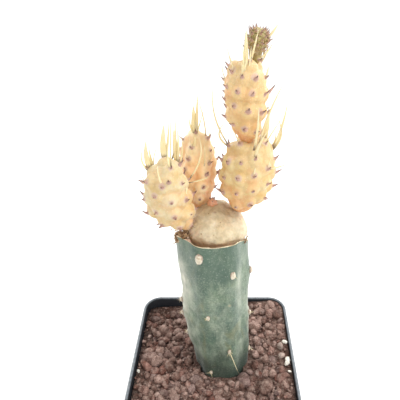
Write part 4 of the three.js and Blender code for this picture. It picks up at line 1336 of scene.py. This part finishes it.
def shoulder_shreds():
    """Dried shreds that stand on the lip at the right, close to the graft: flat tapered strands
    with a bow that grows with the square of the share along."""
    draw = np.random.default_rng(53)
    count, rows = SHREDS["count"], 8
    share = np.linspace(0, 1, rows)[:, None]
    roots = np.array(SHREDS["place"]) + draw.normal(size=(count, 1, 3)) * SHREDS["scatter"]
    ways = unit(draw.normal(size=(count, 1, 3)) * SHREDS["spread"] + SHREDS["lean"])
    lengths = draw.uniform(*SHREDS["lengths"], (count, 1, 1))
    bows = draw.normal(size=(count, 1, 3)) * SHREDS["bow"]
    paths = roots + ways * lengths * share + bows * share**2
    wide = draw.uniform(*SHREDS["widths"], (count, 1)) * (1 - 0.7 * share[:, 0])
    hollow = draw.uniform(0, 1, (count, 1))
    return swept(paths, (1.0, 0.2, 0), wide, wide * 0 + SHREDS["thickness"], 6, hollow=hollow)


def ledge_roots():
    """Thin dried roots that lie in the ledge at the left of the graft: arcs round it whose radius
    and height wander by sine waves."""
    own, rows = LEDGE_ROOTS, 16
    draw = np.random.default_rng(52)
    share = np.linspace(0, 1, rows)
    start = np.radians(draw.uniform(*own["start"], own["count"]))
    reach = np.radians(draw.uniform(*own["reach"], own["count"]))
    angle = start[:, None] + reach[:, None] * share
    each = (own["count"], 1)
    radius = own["radius"] + own["wander"] * np.sin(3 * share + draw.uniform(0, TAU, each))
    across = radius * np.sin(angle)
    x = own["middle"] + radius * np.cos(angle)
    y = STOCK["cut"][1] + across
    wave = own["wave"] * np.sin(9 * share + draw.uniform(0, TAU, each))
    z = STOCK["cut"][2] + own["lift"] + wave - STOCK["cut_slope"] * across
    paths = np.stack([x, y, z], -1)
    thick = np.full(angle.shape, own["thickness"]) * draw.uniform(*own["sizes"], each)
    return swept(paths, (0, 0, 1), thick, thick, 6)


def tuft_lumps(draw):
    """Lumps of the dried tuft, one in its middle and the others round it: balls that are pulled
    in along the folds of ridged noise."""
    around, rows = 44, 28
    lat = np.linspace(-1.5, 1.5, rows)[:, None]
    turn = turns(around)
    ball = np.stack([np.cos(lat) * np.cos(turn), np.cos(lat) * np.sin(turn),
                     np.sin(lat) * np.ones(around)], -1)
    spots = [(0, 0, 0, TUFT["middle_lump"])]
    for angle in turns(TUFT["lumps"]):
        out = TUFT["spread"] * (0.6 + 0.4 * draw.uniform())
        rise = draw.uniform() * 2 - 0.6
        size = 0.4 + 0.3 * draw.uniform()
        spots.append((out * math.cos(angle), out * math.sin(angle), rise, size))
    parts = []
    for k, (*off, size) in enumerate(spots):
        place = np.array(TUFT["place"]) + off
        rings = place + ball * TUFT["radius"] * size * TUFT["flatness"]
        folds = np.abs(waves(rings, TUFT["fold_length"], 60 + k))
        rings = place + (rings - place) * (1.0 - TUFT["folds"] * folds)[..., None]
        grain = TUFT["grain"] * waves(rings, TUFT["grain_length"], 80 + k)
        rings = rings + grain[..., None] * unit(rings - place)
        # The mark darkens the folds: painted shade
        parts.append(closed_loft(rings, hollow=step(0.35, 1.3, folds)))
    return parts


def tuft_strands(draw):
    """Thin curled strands and flakes of the dried tuft.

    A strand runs straight out from its root, plus a turn in a small circle that widens with the
    square of the share along it. A flake is a strand that is much wider than it is thick.
    """
    count, rows = TUFT["strands"], 14
    share = np.linspace(0, 1, rows)
    ways = unit(draw.normal(size=(count, 3)) + TUFT["lean"])
    side, up = basis(ways)
    lengths = draw.uniform(*TUFT["lengths"], (count, 1, 1))
    curl = draw.uniform(*TUFT["curls"], (count, 1)) * share**2
    phase = draw.uniform(0, TAU, (count, 1)) + draw.uniform(-5, 5, (count, 1)) * share
    roots = np.array(TUFT["place"]) + draw.normal(size=(count, 3)) * TUFT["scatter"]
    paths = roots[:, None] + ways[:, None] * share[:, None] * lengths
    paths = paths + side[:, None] * (curl * np.cos(phase))[..., None]
    paths = paths + up[:, None] * (curl * np.sin(phase))[..., None]
    thick = draw.uniform(*TUFT["radii"], (count, 1)) * (1 - 0.6 * share)
    flake = draw.uniform(size=(count, 1)) < TUFT["flakes"]
    wide = thick * np.where(flake, TUFT["flake_width"], TUFT["strand_width"])
    hollow = draw.uniform(0, 0.75, (count, 1)) ** 2
    return swept(paths, side[:, None], wide, thick, 6, hollow=hollow)


def dried_tuft():
    """The dried tuft's lumps and strands."""
    draw = np.random.default_rng(88)
    return [*tuft_lumps(draw), tuft_strands(draw)]


def bud_surface():
    """Bud: an egg shape with low scales on a spiral, carried up a short profile."""
    rows, around = 40, 48
    share = np.linspace(0, 1, rows)[:, None]
    turn = turns(around)
    radius = BUD["radius"] * np.sin(np.pi * np.clip(0.12 + 0.86 * share, 0, 1)) ** 0.7
    scales = 0.12 * np.sin(5 * turn + 9 * share) * np.sin(np.pi * share)
    reach = radius * (1 + scales)
    rings = np.stack([reach * np.cos(turn), reach * np.sin(turn),
                      BUD["height"] * share * np.ones(around) - 0.2], -1)
    place = np.array(BUD["place"])
    return closed_loft(rings + place, along=share * 0.3)


def bud_leaves():
    """Small dark leaves on top of the bud, each leaning outwards."""
    count = BUD["leaves"]
    angle = math.radians(GOLDEN_TURN) * np.arange(count)
    lean = np.linspace(0.75, 0.15, count)
    ways = unit(np.stack([np.cos(angle) * lean, np.sin(angle) * lean, np.ones(count)], -1))
    roots = np.array(BUD["place"]) + ways * (1.2, 1.2, 2.2)
    lengths, radii = np.linspace(1.6, 2.9, count), np.linspace(0.42, 0.3, count)
    return cones(roots, ways, lengths, radii, 1, 7, 8, 0.1, 4)


# --- Segments ---


def segment_axes(shape):
    """Base point, directions to the right, away and along, and the length."""
    base, top = np.array(shape["base"], float), np.array(shape["top"], float)
    along = unit(top - base)
    right = unit(np.cross((0, 1, 0), along))
    return base, np.stack([right, np.cross(along, right), along]), np.linalg.norm(top - base)


def body_points(shape, length, ways):
    """Smooth egg shape: the ring's share to a power times the radius, round a bowed middle."""
    ring = np.linalg.norm(ways[..., :2], axis=-1)
    low = ways[..., 2] < 0
    wide = shape["wide"]
    share = wide + np.where(low, wide, 1 - wide) * ways[..., 2]
    bow = 4 * share * (1 - share)
    reach = shape["radius"] * ring ** np.where(low, shape["taper"], shape["crown"])
    flat = ways[..., :2] / np.maximum(ring, 1e-6)[..., None] * reach[..., None]
    return np.concatenate([flat + np.array(shape["bend"]) * bow[..., None],
                           (length * share)[..., None]], -1)


def body_normals(shape, length, ways):
    """Outward directions of an ellipsoid as wide and long as the segment."""
    half = length * np.where(ways[..., 2] < 0, shape["wide"], 1 - shape["wide"])
    radius = np.full(half.shape, shape["radius"])
    return unit(ways / np.stack([radius, radius, half], -1))


def ways_of(turn, level):
    """Directions at a turn round the upright and at a level, which is their upward part."""
    ring = np.sqrt(1 - level**2)
    return np.stack([ring * np.cos(turn), ring * np.sin(turn), level * np.ones_like(turn)], -1)


def areole_ways(shape):
    """Directions of the areoles, on a spiral that climbs by equal steps."""
    k = np.arange(shape["count"])
    level = shape["lowest"] + (shape["highest"] - shape["lowest"]) * (k + 0.5) / shape["count"]
    return ways_of(np.radians(shape["start"] + shape["divergence"] * k), level)


def smallness(shape, least):
    """Size of a segment's details: smaller on a thin segment, down to a least size."""
    return max(least, min(1, shape["radius"] / FULL_RADIUS))


def is_young(shape):
    """Whether a segment is a young shoot."""
    return shape["radius"] < YOUNG_RADIUS


def all_areoles(shape):
    """Directions of a segment's areoles: the spiral's, and the roots of paper spines that stand
    apart from them."""
    _, _, length = segment_axes(shape)
    found = areole_ways(shape)
    rows = np.array(shape["papers"], float)
    for way in ways_of(np.radians(rows[:, 0]), rows[:, 1]):
        apart = body_points(shape, length, found) - body_points(shape, length, way)
        if np.linalg.norm(apart, axis=-1).min() > TUBERCLE["own_root"]:
            found = np.concatenate([found, way[None]])
    return found


def segment_surface(shape, seed):
    """Segment's body: the egg shape on a grid of latitude and turn, swollen to a tubercle at each
    areole.

    A tubercle's height falls with the square of the distance to its areole. The distances to all
    areoles are blended softly, so that neighbouring tubercles meet in a rounded valley.
    """
    base, axes, length = segment_axes(shape)
    rows = shape["rows"]
    around = int(rows * 1.3)
    level = np.sin(np.linspace(-TAU / 4, TAU / 4, rows + 2)[1:-1, None])
    ways = ways_of(turns(around), level)
    points = body_points(shape, length, ways)
    areoles = body_points(shape, length, all_areoles(shape))
    small = smallness(shape, TUBERCLE["smallest"])
    apart = np.linalg.norm(points[:, :, None] - areoles, axis=-1)
    nearest = apart.argmin(-1)
    near = apart.min(-1)
    blend = TUBERCLE["blend"] * small
    soft = near - blend * np.log(np.exp((near[..., None] - apart) / blend).sum(-1))
    fall = np.maximum(soft, 0) / (TUBERCLE["reach"] * small)
    ends = step(-1.0, -0.6, level) * step(1.02, 0.8, level)
    hump = np.maximum(1 - TUBERCLE["fall"] * fall**2, -TUBERCLE["valley"] * ends)
    draw = np.random.default_rng(seed)
    strength = draw.uniform(*TUBERCLE["areole_strengths"], len(areoles))[nearest]
    size = draw.uniform(*TUBERCLE["sizes"], len(areoles))[nearest]
    above = areoles + (0, 0, TUBERCLE["areole_above"] * small)
    felt = np.linalg.norm(points[:, :, None] - above, axis=-1).min(-1)
    dimple = bell(near / (TUBERCLE["dimple_wide"] * small))
    raised = TUBERCLE["rise"] * hump * size - TUBERCLE["sink"] * ends
    raised = TUBERCLE["height"] * small * (raised - TUBERCLE["dimple"] * dimple)
    rough = ripples(points, [(*wave, seed + k) for k, wave in enumerate(SEGMENT_WAVES)])
    points = points + body_normals(shape, length, ways) * (raised + rough)[..., None]
    return closed_loft(
        base + points @ axes,
        areole=bell(felt / (TUBERCLE["areole_wide"] * small)) * strength,
        # The grooves' mark is for painted shade in the valleys, and the hump mark for a painted
        # highlight on the tubercles' tops
        groove=step(0.75, 1.25, fall),
        hump=np.clip(hump, 0, 1),
        low=1 - step(-0.95, -0.25, level),
        high=step(0.35, 0.95, level),
    )


def inside_segment(shape, points, margin):
    """Whether points lie within margin of a segment's smooth body."""
    base, axes, length = segment_axes(shape)
    local = (points - base) @ axes.T
    share = np.clip(local[..., 2] / length, -0.05, 1.05)
    wide = shape["wide"]
    level = (share - wide) / np.where(share < wide, wide, 1 - wide)
    ring = np.sqrt(np.clip(1 - level**2, 0, 1))
    reach = shape["radius"] * ring ** np.where(level < 0, shape["taper"], shape["crown"])
    bow = 4 * share * (1 - share)
    off = local[..., :2] - np.array(shape["bend"]) * bow[..., None]
    return (np.linalg.norm(off, axis=-1) < reach + margin) & (np.abs(level) < 1.02)


def leaf_patch(shape, seed):
    """Leaves: cones on the areoles, wide at the foot, that point outwards and curve up.

    The half width is a constant times one minus the share along, to a power, with a flare at
    the foot that falls off exponentially.
    """
    base, axes, length = segment_axes(shape)
    ways = all_areoles(shape)
    young = is_young(shape)
    if young:
        ways = np.concatenate([ways, young_leaf_ways(shape)])
    small = smallness(shape, LEAF["smallest"])
    normals = body_normals(shape, length, ways)
    rise = LEAF["rise"] * (1 - np.maximum(0, ways[:, 2:]))
    aims = unit(normals + rise * (0, 0, 1))
    roots = body_points(shape, length, ways) + normals * LEAF["root"] * small
    draw = np.random.default_rng(seed)
    size = small * draw.uniform(*LEAF["sizes"], (len(ways), 1))
    share = np.linspace(0, 1, 10)
    curve = draw.uniform(*LEAF["curve"], (len(ways), 1, 1)) * share[:, None] ** 2 * (0, 0, 1)
    sway = draw.normal(size=(len(ways), 1, 3)) * LEAF["sway"] * share[:, None] ** 2
    line = aims[:, None] * share[:, None] + curve + sway
    reach = LEAF["young_reach"] if young else LEAF["reach"]
    paths = base + (roots[:, None] + line * (reach * size)[:, None]) @ axes
    wide = size * LEAF["width"] * ((1 - share) ** 0.9 * 0.8 + 0.2 * np.exp(-share * 9))
    wide = np.maximum(wide, LEAF["narrowest"])
    ahead = unit(np.gradient(paths, axis=1))
    # The small shift keeps the side away from none where a leaf points straight up
    aside = np.cross((0, 0, 1.0), ahead + (1e-3, 0, 0))
    return swept(paths, aside, wide, wide * LEAF["thickness"], 10, 1, along=share)


def young_leaf_ways(shape):
    """More leaves on the young shoot: a denser spiral that ends closer to the top."""
    count = YOUNG_LEAVES["count"]
    k = np.arange(count)
    level = YOUNG_LEAVES["lowest"] + YOUNG_LEAVES["span"] * (k + 0.5) / count
    return ways_of(np.radians(YOUNG_LEAVES["start"] + shape["divergence"] * k), level)


def bristle_patch(shape, seed):
    """Short bristles in a tuft above each leaf."""
    base, axes, length = segment_axes(shape)
    ways = all_areoles(shape)
    small = smallness(shape, BRISTLE["smallest"])
    normals = body_normals(shape, length, ways)
    lift = np.array((0, 0, BRISTLE["rise"]))
    roots = body_points(shape, length, ways) + (normals * BRISTLE["root"] + lift) * small
    draw = np.random.default_rng(seed)
    each = BRISTLE["count"]
    aims = scattered_ways(draw, unit(normals + lift), each, BRISTLE["spread"])
    scatter = draw.normal(size=(len(aims), 3)) * BRISTLE["scatter"] * small
    roots = np.repeat(roots, each, 0) + scatter
    lengths = draw.uniform(*BRISTLE["lengths"], len(aims)) * small
    return cones(base + roots @ axes, aims @ axes, lengths, BRISTLE["radius"], 2, 3, 3, 0.15, seed)


def paper_rows(shape, draw):
    """Rows of the paper spines: those seen in the photo, then others on the upper areoles. The
    last number of a row is 1 for a spine that is seen."""
    rows = [list(row) + [1] for row in shape["papers"]]
    if is_young(shape):
        return rows
    ways = areole_ways(shape)
    least, more = FAINT_PAPERS["reach"]
    for way in ways[ways[:, 2] > FAINT_PAPERS["lowest"]]:
        front = int(way[1] <= FAINT_PAPERS["back_from"])
        if draw.uniform() > FAINT_PAPERS["kept"][front]:
            continue
        turn = math.degrees(math.atan2(way[1], way[0]))
        reach = (least + more * draw.uniform()) * FAINT_PAPERS["shorter"][front]
        lean = FAINT_PAPERS["lean"] * draw.uniform(0.6, 1.4)
        width = draw.uniform(*FAINT_PAPERS["widths"]) * FAINT_PAPERS["thinner"][front]
        bow = way[0] * draw.uniform(-0.5, 1.5)
        rows.append([turn, way[2], lean * way[0], lean * way[1], reach, width, bow, 0])
    return rows


def paper_patch(name, shape, seed):
    """Paper spines: thin ribbons along quadratic curves from the areole to the tip.

    A ribbon's width widens from the root, then falls to a point. It turns slowly about its
    own line, and a small wave lifts it off the curve. Where it would run into another segment,
    its tip is moved aside in growing steps.
    """
    draw = np.random.default_rng(seed)
    base, axes, length = segment_axes(shape)
    others = [other for key, other in SEGMENTS.items() if key != name]
    rows, around = 22, 10
    share = np.linspace(0, 1, rows)[:, None]
    form = ((0.7 + 0.3 * step(0, 0.3, share)) * (1 - 0.9 * share**2.6))[:, 0]
    ribbons = []
    for k, row in enumerate(paper_rows(shape, draw)):
        turn, level, right, away, up, width, bow, seen = row
        way = ways_of(np.radians(float(turn)), np.array(float(level)))
        outward = body_normals(shape, length, way) @ axes
        root = base + body_points(shape, length, way) @ axes
        for aside in PAPER_BENDS:
            tip = root + (right + aside, away, up)
            bend = (root + tip) / 2 + (2 * bow, 0, 0)
            path = root * (1 - share) ** 2 + 2 * bend * share * (1 - share) + tip * share**2
            rest = path[int(rows * 0.25) :]
            if not any(inside_segment(other, rest, PAPER["clear"]).any() for other in others):
                break
        else:
            continue
        path[0] -= outward * PAPER["root"]
        tangent = unit(np.gradient(path, axis=0))
        across = unit(np.cross(tangent, PAPER_FACING if seen else outward))
        lift = np.cross(across, tangent)
        twist = draw.uniform(-PAPER["twist"], PAPER["twist"]) * share
        twist = twist + draw.uniform(-PAPER["tilt"], PAPER["tilt"])
        wave = 0.25 * np.sin(share * draw.uniform(3, 8) + draw.uniform(0, TAU)) * share
        side = across * np.cos(twist) + lift * np.sin(twist)
        broad = PAPER["slim"] + PAPER["broader"] * step(0.8, 1.5, width)
        ribbons.append((path + lift * wave, side, width * broad / 2 * form, [k / 10]))
    paths, sides, widths, own = (np.array(each) for each in zip(*ribbons))
    thick = np.minimum(PAPER["thickest"], widths * 0.5)
    across = np.cos(turns(around))[None, None]
    return swept(paths, sides, widths, thick, around, along=share[:, 0], own=own, across=across)


# --- Settings ---


def colour_property(name, description, code):
    """A setting for a colour, with a code as its default."""
    return bpy.props.FloatVectorProperty(
        name=name, description=description, default=tint(code), size=4, min=0, max=1,
        subtype="COLOR",
    )


class PotSettings(bpy.types.PropertyGroup):
    colour: colour_property("Plastic", "Colour of the pot's plastic", "#1d2228")


class GravelSettings(bpy.types.PropertyGroup):
    stone_size: bpy.props.FloatProperty(
        name="Stone size", description="Mean size of the gravel's stones", default=3.9 * MM,
        min=2 * MM, max=8 * MM, unit="LENGTH",
    )
    spacing: bpy.props.FloatProperty(
        name="Spacing", description="Distance between neighbouring stones", default=3.5 * MM,
        min=2 * MM, max=8 * MM, unit="LENGTH",
    )
    dark: colour_property("Dark stone", "Colour of the darkest stones", "#7a584b")
    light: colour_property("Light stone", "Colour of the lightest stones", "#c4a498")


class RootstockSettings(bpy.types.PropertyGroup):
    around: bpy.props.IntProperty(
        name="Points around", description="Points in each ring of the rootstock", default=252,
        min=70, max=420,
    )
    rows: bpy.props.IntProperty(
        name="Rings", description="Rings between the rootstock's foot and its cut", default=170,
        min=40, max=220,
    )
    green: colour_property("Green", "Colour of the bare skin", "#5b7061")
    bloom: colour_property("Bloom", "Colour of the waxy bloom", "#a9b29d")
    dark: colour_property("Dark green", "Colour at the foot and under the cut", "#405849")


class ScionSettings(bpy.types.PropertyGroup):
    paper_cream: colour_property("Paper", "Colour of the paper spines", "#efe5c4")
    paper_straw: colour_property("Fibres", "Colour of the paper spines' fibres", "#dcc68c")
    leaf_tip: colour_property("Leaf tip", "Colour of the leaves' tips", "#64493f")


class StageSettings(bpy.types.PropertyGroup):
    floor_size: bpy.props.FloatProperty(
        name="Floor", description="Side of the floor", default=6.0, min=1, max=20, unit="LENGTH",
    )
    floor_colour: colour_property("Floor colour", "Colour of the floor", "#fcfcfb")
    sky: bpy.props.FloatProperty(
        name="Surround", description="Strength of the white surround", default=1.1, min=0,
        max=5,
    )


class CactusSettings(bpy.types.PropertyGroup):
    pot: bpy.props.PointerProperty(type=PotSettings)
    gravel: bpy.props.PointerProperty(type=GravelSettings)
    rootstock: bpy.props.PointerProperty(type=RootstockSettings)
    scion: bpy.props.PointerProperty(type=ScionSettings)
    stage: bpy.props.PointerProperty(type=StageSettings)


def settings(context):
    """The scene's settings of the cactus."""
    return context.scene.paper_spine_cactus


# --- Operators ---


def cut_and_joined(shell, cutters, additions):
    """The shell's mesh with holes cut and feet joined, then its flat faces kept sharp."""
    helpers = []
    for way, parts in (("UNION", additions), ("DIFFERENCE", cutters)):
        for k, part in enumerate(parts):
            mesh = bpy.data.meshes.new("helper")
            faces = part["quads"].tolist() + part["triangles"].tolist()
            mesh.from_pydata((part["points"] * MM).tolist(), [], faces)
            helper = add_object("helper", mesh)
            helpers.append(helper)
            change = shell.modifiers.new(f"{way} {k}", "BOOLEAN")
            change.operation, change.solver, change.object = way, "EXACT", helper
    graph = bpy.context.evaluated_depsgraph_get()
    made = bpy.data.meshes.new_from_object(shell.evaluated_get(graph))
    shell.modifiers.clear()
    shell.data = made
    for helper in helpers:
        bpy.data.meshes.remove(helper.data)
    made.polygons.foreach_set("use_smooth", np.ones(len(made.polygons), bool))
    made.set_sharp_from_angle(angle=math.radians(38))


class CACTUS_OT_pot(bpy.types.Operator):
    """Adds the square plastic pot with its drain holes and feet"""

    bl_idname = "cactus.pot"
    bl_label = "Pot"

    def execute(self, context):
        material = pot_plastic(tuple(settings(context).pot.colour))
        shell = make_piece("pot_shell", [pot_shell()], [material], "pot_plastic", "pot")
        under, top = POT["floor_under"], POT["floor_top"]
        quarter = TAU / 4 * np.arange(4)
        places = np.stack([np.cos(quarter), np.sin(quarter)], -1)
        drains = [
            upright(POT["drain_radius"], -1, top + 1, *(place * POT["drain_place"]))
            for place in places
        ]
        feet = [
            upright(POT["foot_radius"], 0, under + 1, *spot)
            for spot in np.array([(1, 1), (-1, 1), (-1, -1), (1, -1)]) * POT["foot_place"]
        ]
        pad = upright(POT["pad_radius"], 0, under + 1, 0, 0, 60)
        cut_and_joined(shell, drains, [*feet, pad])
        return {"FINISHED"}


class CACTUS_OT_filling(bpy.types.Operator):
    """Adds the gravel and gives the potting mix under it its material"""

    bl_idname = "cactus.filling"
    bl_label = "Gravel and potting mix"

    def execute(self, context):
        own = settings(context).gravel
        material = lava_stone(tuple(own.dark), tuple(own.light))
        stones = gravel_stones(own.stone_size / MM, own.spacing / MM)
        make_piece("lava_gravel", [gravel_bed(), *stones], [material], "lava_gravel", "gravel")
        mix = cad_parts["potting_mix"]
        mix.data.materials.clear()
        mix.data.materials.append(soil())
        return {"FINISHED"}


class CACTUS_OT_rootstock(bpy.types.Operator):
    """Adds the green rootstock with its felt pads and spines"""

    bl_idname = "cactus.rootstock"
    bl_label = "Rootstock"

    def execute(self, context):
        own = settings(context).rootstock
        skin = stock_skin(tuple(own.green), tuple(own.bloom), tuple(own.dark))
        column = [stock_surface(own.around, own.rows)]
        make_piece("rootstock_column", column, [skin], "rootstock_skin", "rootstock")
        finishes = [felt("#e4dcc8", "#b5a188"), spine_horn()]
        make_piece("rootstock_areoles", stock_armour(), finishes, "rootstock_skin")
        return {"FINISHED"}


class CACTUS_OT_graft(bpy.types.Operator):
    """Adds the scion's old lower segment, its new bud and the dried bits round the graft"""

    bl_idname = "cactus.graft"
    bl_label = "Graft"

    def execute(self, context):
        own = settings(context).scion
        make_piece("scion_globe", [scion_surface()], [scion_skin()], "scion_skin", "scion_base")
        skins = [
            leaf_skin("bud skin", "#d9a277", "#e0a888", "#c98868"),
            leaf_skin("bud leaves", "#d9a98c", "#a08a7c", tuple(own.leaf_tip)),
        ]
        make_piece("bud", [bud_surface(), bud_leaves()], skins, "bud_skin", "new_bud")
        tissue = dried_tissue()
        make_piece("dried_bits", dried_tuft(), [tissue], "dried_tissue", "dried_tuft")
        make_piece("ledge_bits", [ledge_roots(), shoulder_shreds()], [tissue], "dried_tissue")
        return {"FINISHED"}


# Skins of the segments: name, pale and deep colour, blush, and strength of the orange foot
SKINS = {
    "segment_left": ("cream skin", "#d9caa4", "#cfb176", "#ddb280", 0.25),
    "segment_back": ("coral skin", "#f8e2b8", "#f3cf9a", "#efb988", 0.4),
    "segment_right": ("golden skin", "#dcc490", "#cfab6c", "#dba270", 0.4),
    "segment_upper": ("amber skin", "#e2c48e", "#d2ac72", "#e0a87a", 0.4),
    "shoot_tip": ("olive skin", "#b0a466", "#918248", "#9c7a58", 0.08),
}


class CACTUS_OT_segments(bpy.types.Operator):
    """Adds the five stem segments with their leaves, bristles and paper spines"""

    bl_idname = "cactus.segments"
    bl_label = "Segments"

    def execute(self, context):
        own = settings(context).scion
        ribbon = paper(tuple(own.paper_cream), tuple(own.paper_straw))
        bristles = bristle()
        leaves = leaf_skin("leaf skin", "#d8b290", "#b39084", tuple(own.leaf_tip))
        young_leaves = leaf_skin("young leaf skin", "#b39f68", "#a07e68", "#6a4a42")
        for k, (name, shape) in enumerate(SEGMENTS.items()):
            leaf = young_leaves if is_young(shape) else leaves
            seed = 100 + 10 * k
            parts = [segment_surface(shape, seed), leaf_patch(shape, seed + 2),
                     bristle_patch(shape, seed + 3)]
            finishes = [segment_skin(*SKINS[name]), leaf, bristles]
            make_piece(f"{name}_body", parts, finishes, shape["slot"], name)
            spines = [paper_patch(name, shape, seed + 4)]
            make_piece(f"{name}_paper_spines", spines, [ribbon], shape["slot"])
        return {"FINISHED"}


def add_light(name, place, power):
    """Round soft light at a place in metres, aimed at the plant's middle."""
    light = bpy.data.lights.new(name, "AREA")
    light.shape, light.size, light.energy = "DISK", LIGHT_SIZE, power
    lamp = add_object(name, light)
    lamp.location = place
    lamp.rotation_euler = Matrix(look(np.array(LIGHT_AIM) - place, 0)).to_euler()


def look(way, roll):
    """Rows of a turn that faces a lamp or camera along way, with its top up, rolled by degrees."""
    ahead = unit(np.array(way, float))
    right = unit(np.cross(ahead, (0, 0, 1)))
    up = np.cross(right, ahead)
    lean = math.radians(roll)
    tilted = math.cos(lean) * right + math.sin(lean) * up
    top = -math.sin(lean) * right + math.cos(lean) * up
    return np.stack([tilted, top, -ahead], -1).tolist()


class CACTUS_OT_stage(bpy.types.Operator):
    """Adds the pale floor, the soft lights and the camera"""

    bl_idname = "cactus.stage"
    bl_label = "Stage"

    def execute(self, context):
        own = settings(context).stage
        scene = context.scene
        half = own.floor_size / 2
        corners = [(-half, -half, 0), (half, -half, 0), (half, half, 0), (-half, half, 0)]
        mesh = bpy.data.meshes.new("floor")
        mesh.from_pydata(corners, [], [(0, 1, 2, 3)])
        material, _, shader, _ = new_material("floor", 0.9)
        shader["Base Color"].default_value = own.floor_colour
        mesh.materials.append(material)
        floor = add_object("floor", mesh)
        world = bpy.data.worlds.new("surround")
        scene.world = world
        world.use_nodes = True
        sky = world.node_tree.nodes["Background"].inputs
        sky["Color"].default_value = WHITE
        sky["Strength"].default_value = own.sky
        for name, spot, power in LIGHTS:
            add_light(name, spot, power)
        scene.view_settings.view_transform = "Standard"
        lens = bpy.data.cameras.new("camera")
        lens.lens, lens.sensor_width = CAMERA["lens"], CAMERA["film"]
        lens.clip_start = 0.01
        camera = add_object("camera", lens)
        yaw, pitch = math.radians(CAMERA["yaw"]), math.radians(CAMERA["pitch"])
        way = (-math.sin(yaw) * math.cos(pitch), math.cos(yaw) * math.cos(pitch),
               -math.sin(pitch))
        turn = Matrix(look(way, CAMERA["roll"])).to_4x4()
        turn.translation = [value * MM for value in CAMERA["place"]]
        camera.matrix_world = turn
        scene.camera = camera
        return {"FINISHED"}


OPERATORS = (
    CACTUS_OT_stage, CACTUS_OT_pot, CACTUS_OT_filling, CACTUS_OT_rootstock, CACTUS_OT_graft,
    CACTUS_OT_segments,
)


class CACTUS_PT_sidebar(bpy.types.Panel):
    """Lists the cactus's settings and pieces in the 3D view's sidebar"""

    bl_idname = "CACTUS_PT_sidebar"
    bl_label = "Paper spine cactus"
    bl_space_type = "VIEW_3D"
    bl_region_type = "UI"
    bl_category = "Cactus"

    def draw(self, context):
        layout = self.layout
        groups = settings(context)
        for title in ("pot", "gravel", "rootstock", "scion", "stage"):
            box = layout.box()
            box.label(text=title.capitalize())
            own = getattr(groups, title)
            for key in own.__annotations__:
                box.prop(own, key)
        for operator in OPERATORS:
            layout.operator(operator.bl_idname)


CLASSES = (
    PotSettings, GravelSettings, RootstockSettings, ScionSettings, StageSettings, CactusSettings,
    *OPERATORS, CACTUS_PT_sidebar,
)


def register():
    """Registers the classes and puts the settings on the scene."""
    for each in CLASSES:
        bpy.utils.register_class(each)
    bpy.types.Scene.paper_spine_cactus = bpy.props.PointerProperty(type=CactusSettings)


def unregister():
    """Takes them off again."""
    del bpy.types.Scene.paper_spine_cactus
    for each in reversed(CLASSES):
        bpy.utils.unregister_class(each)


def main():
    """Builds the scene piece by piece."""
    register()
    bpy.ops.cactus.stage()
    bpy.ops.cactus.pot()
    bpy.ops.cactus.filling()
    bpy.ops.cactus.rootstock()
    bpy.ops.cactus.graft()
    bpy.ops.cactus.segments()


if __name__ == "__main__":
    main()
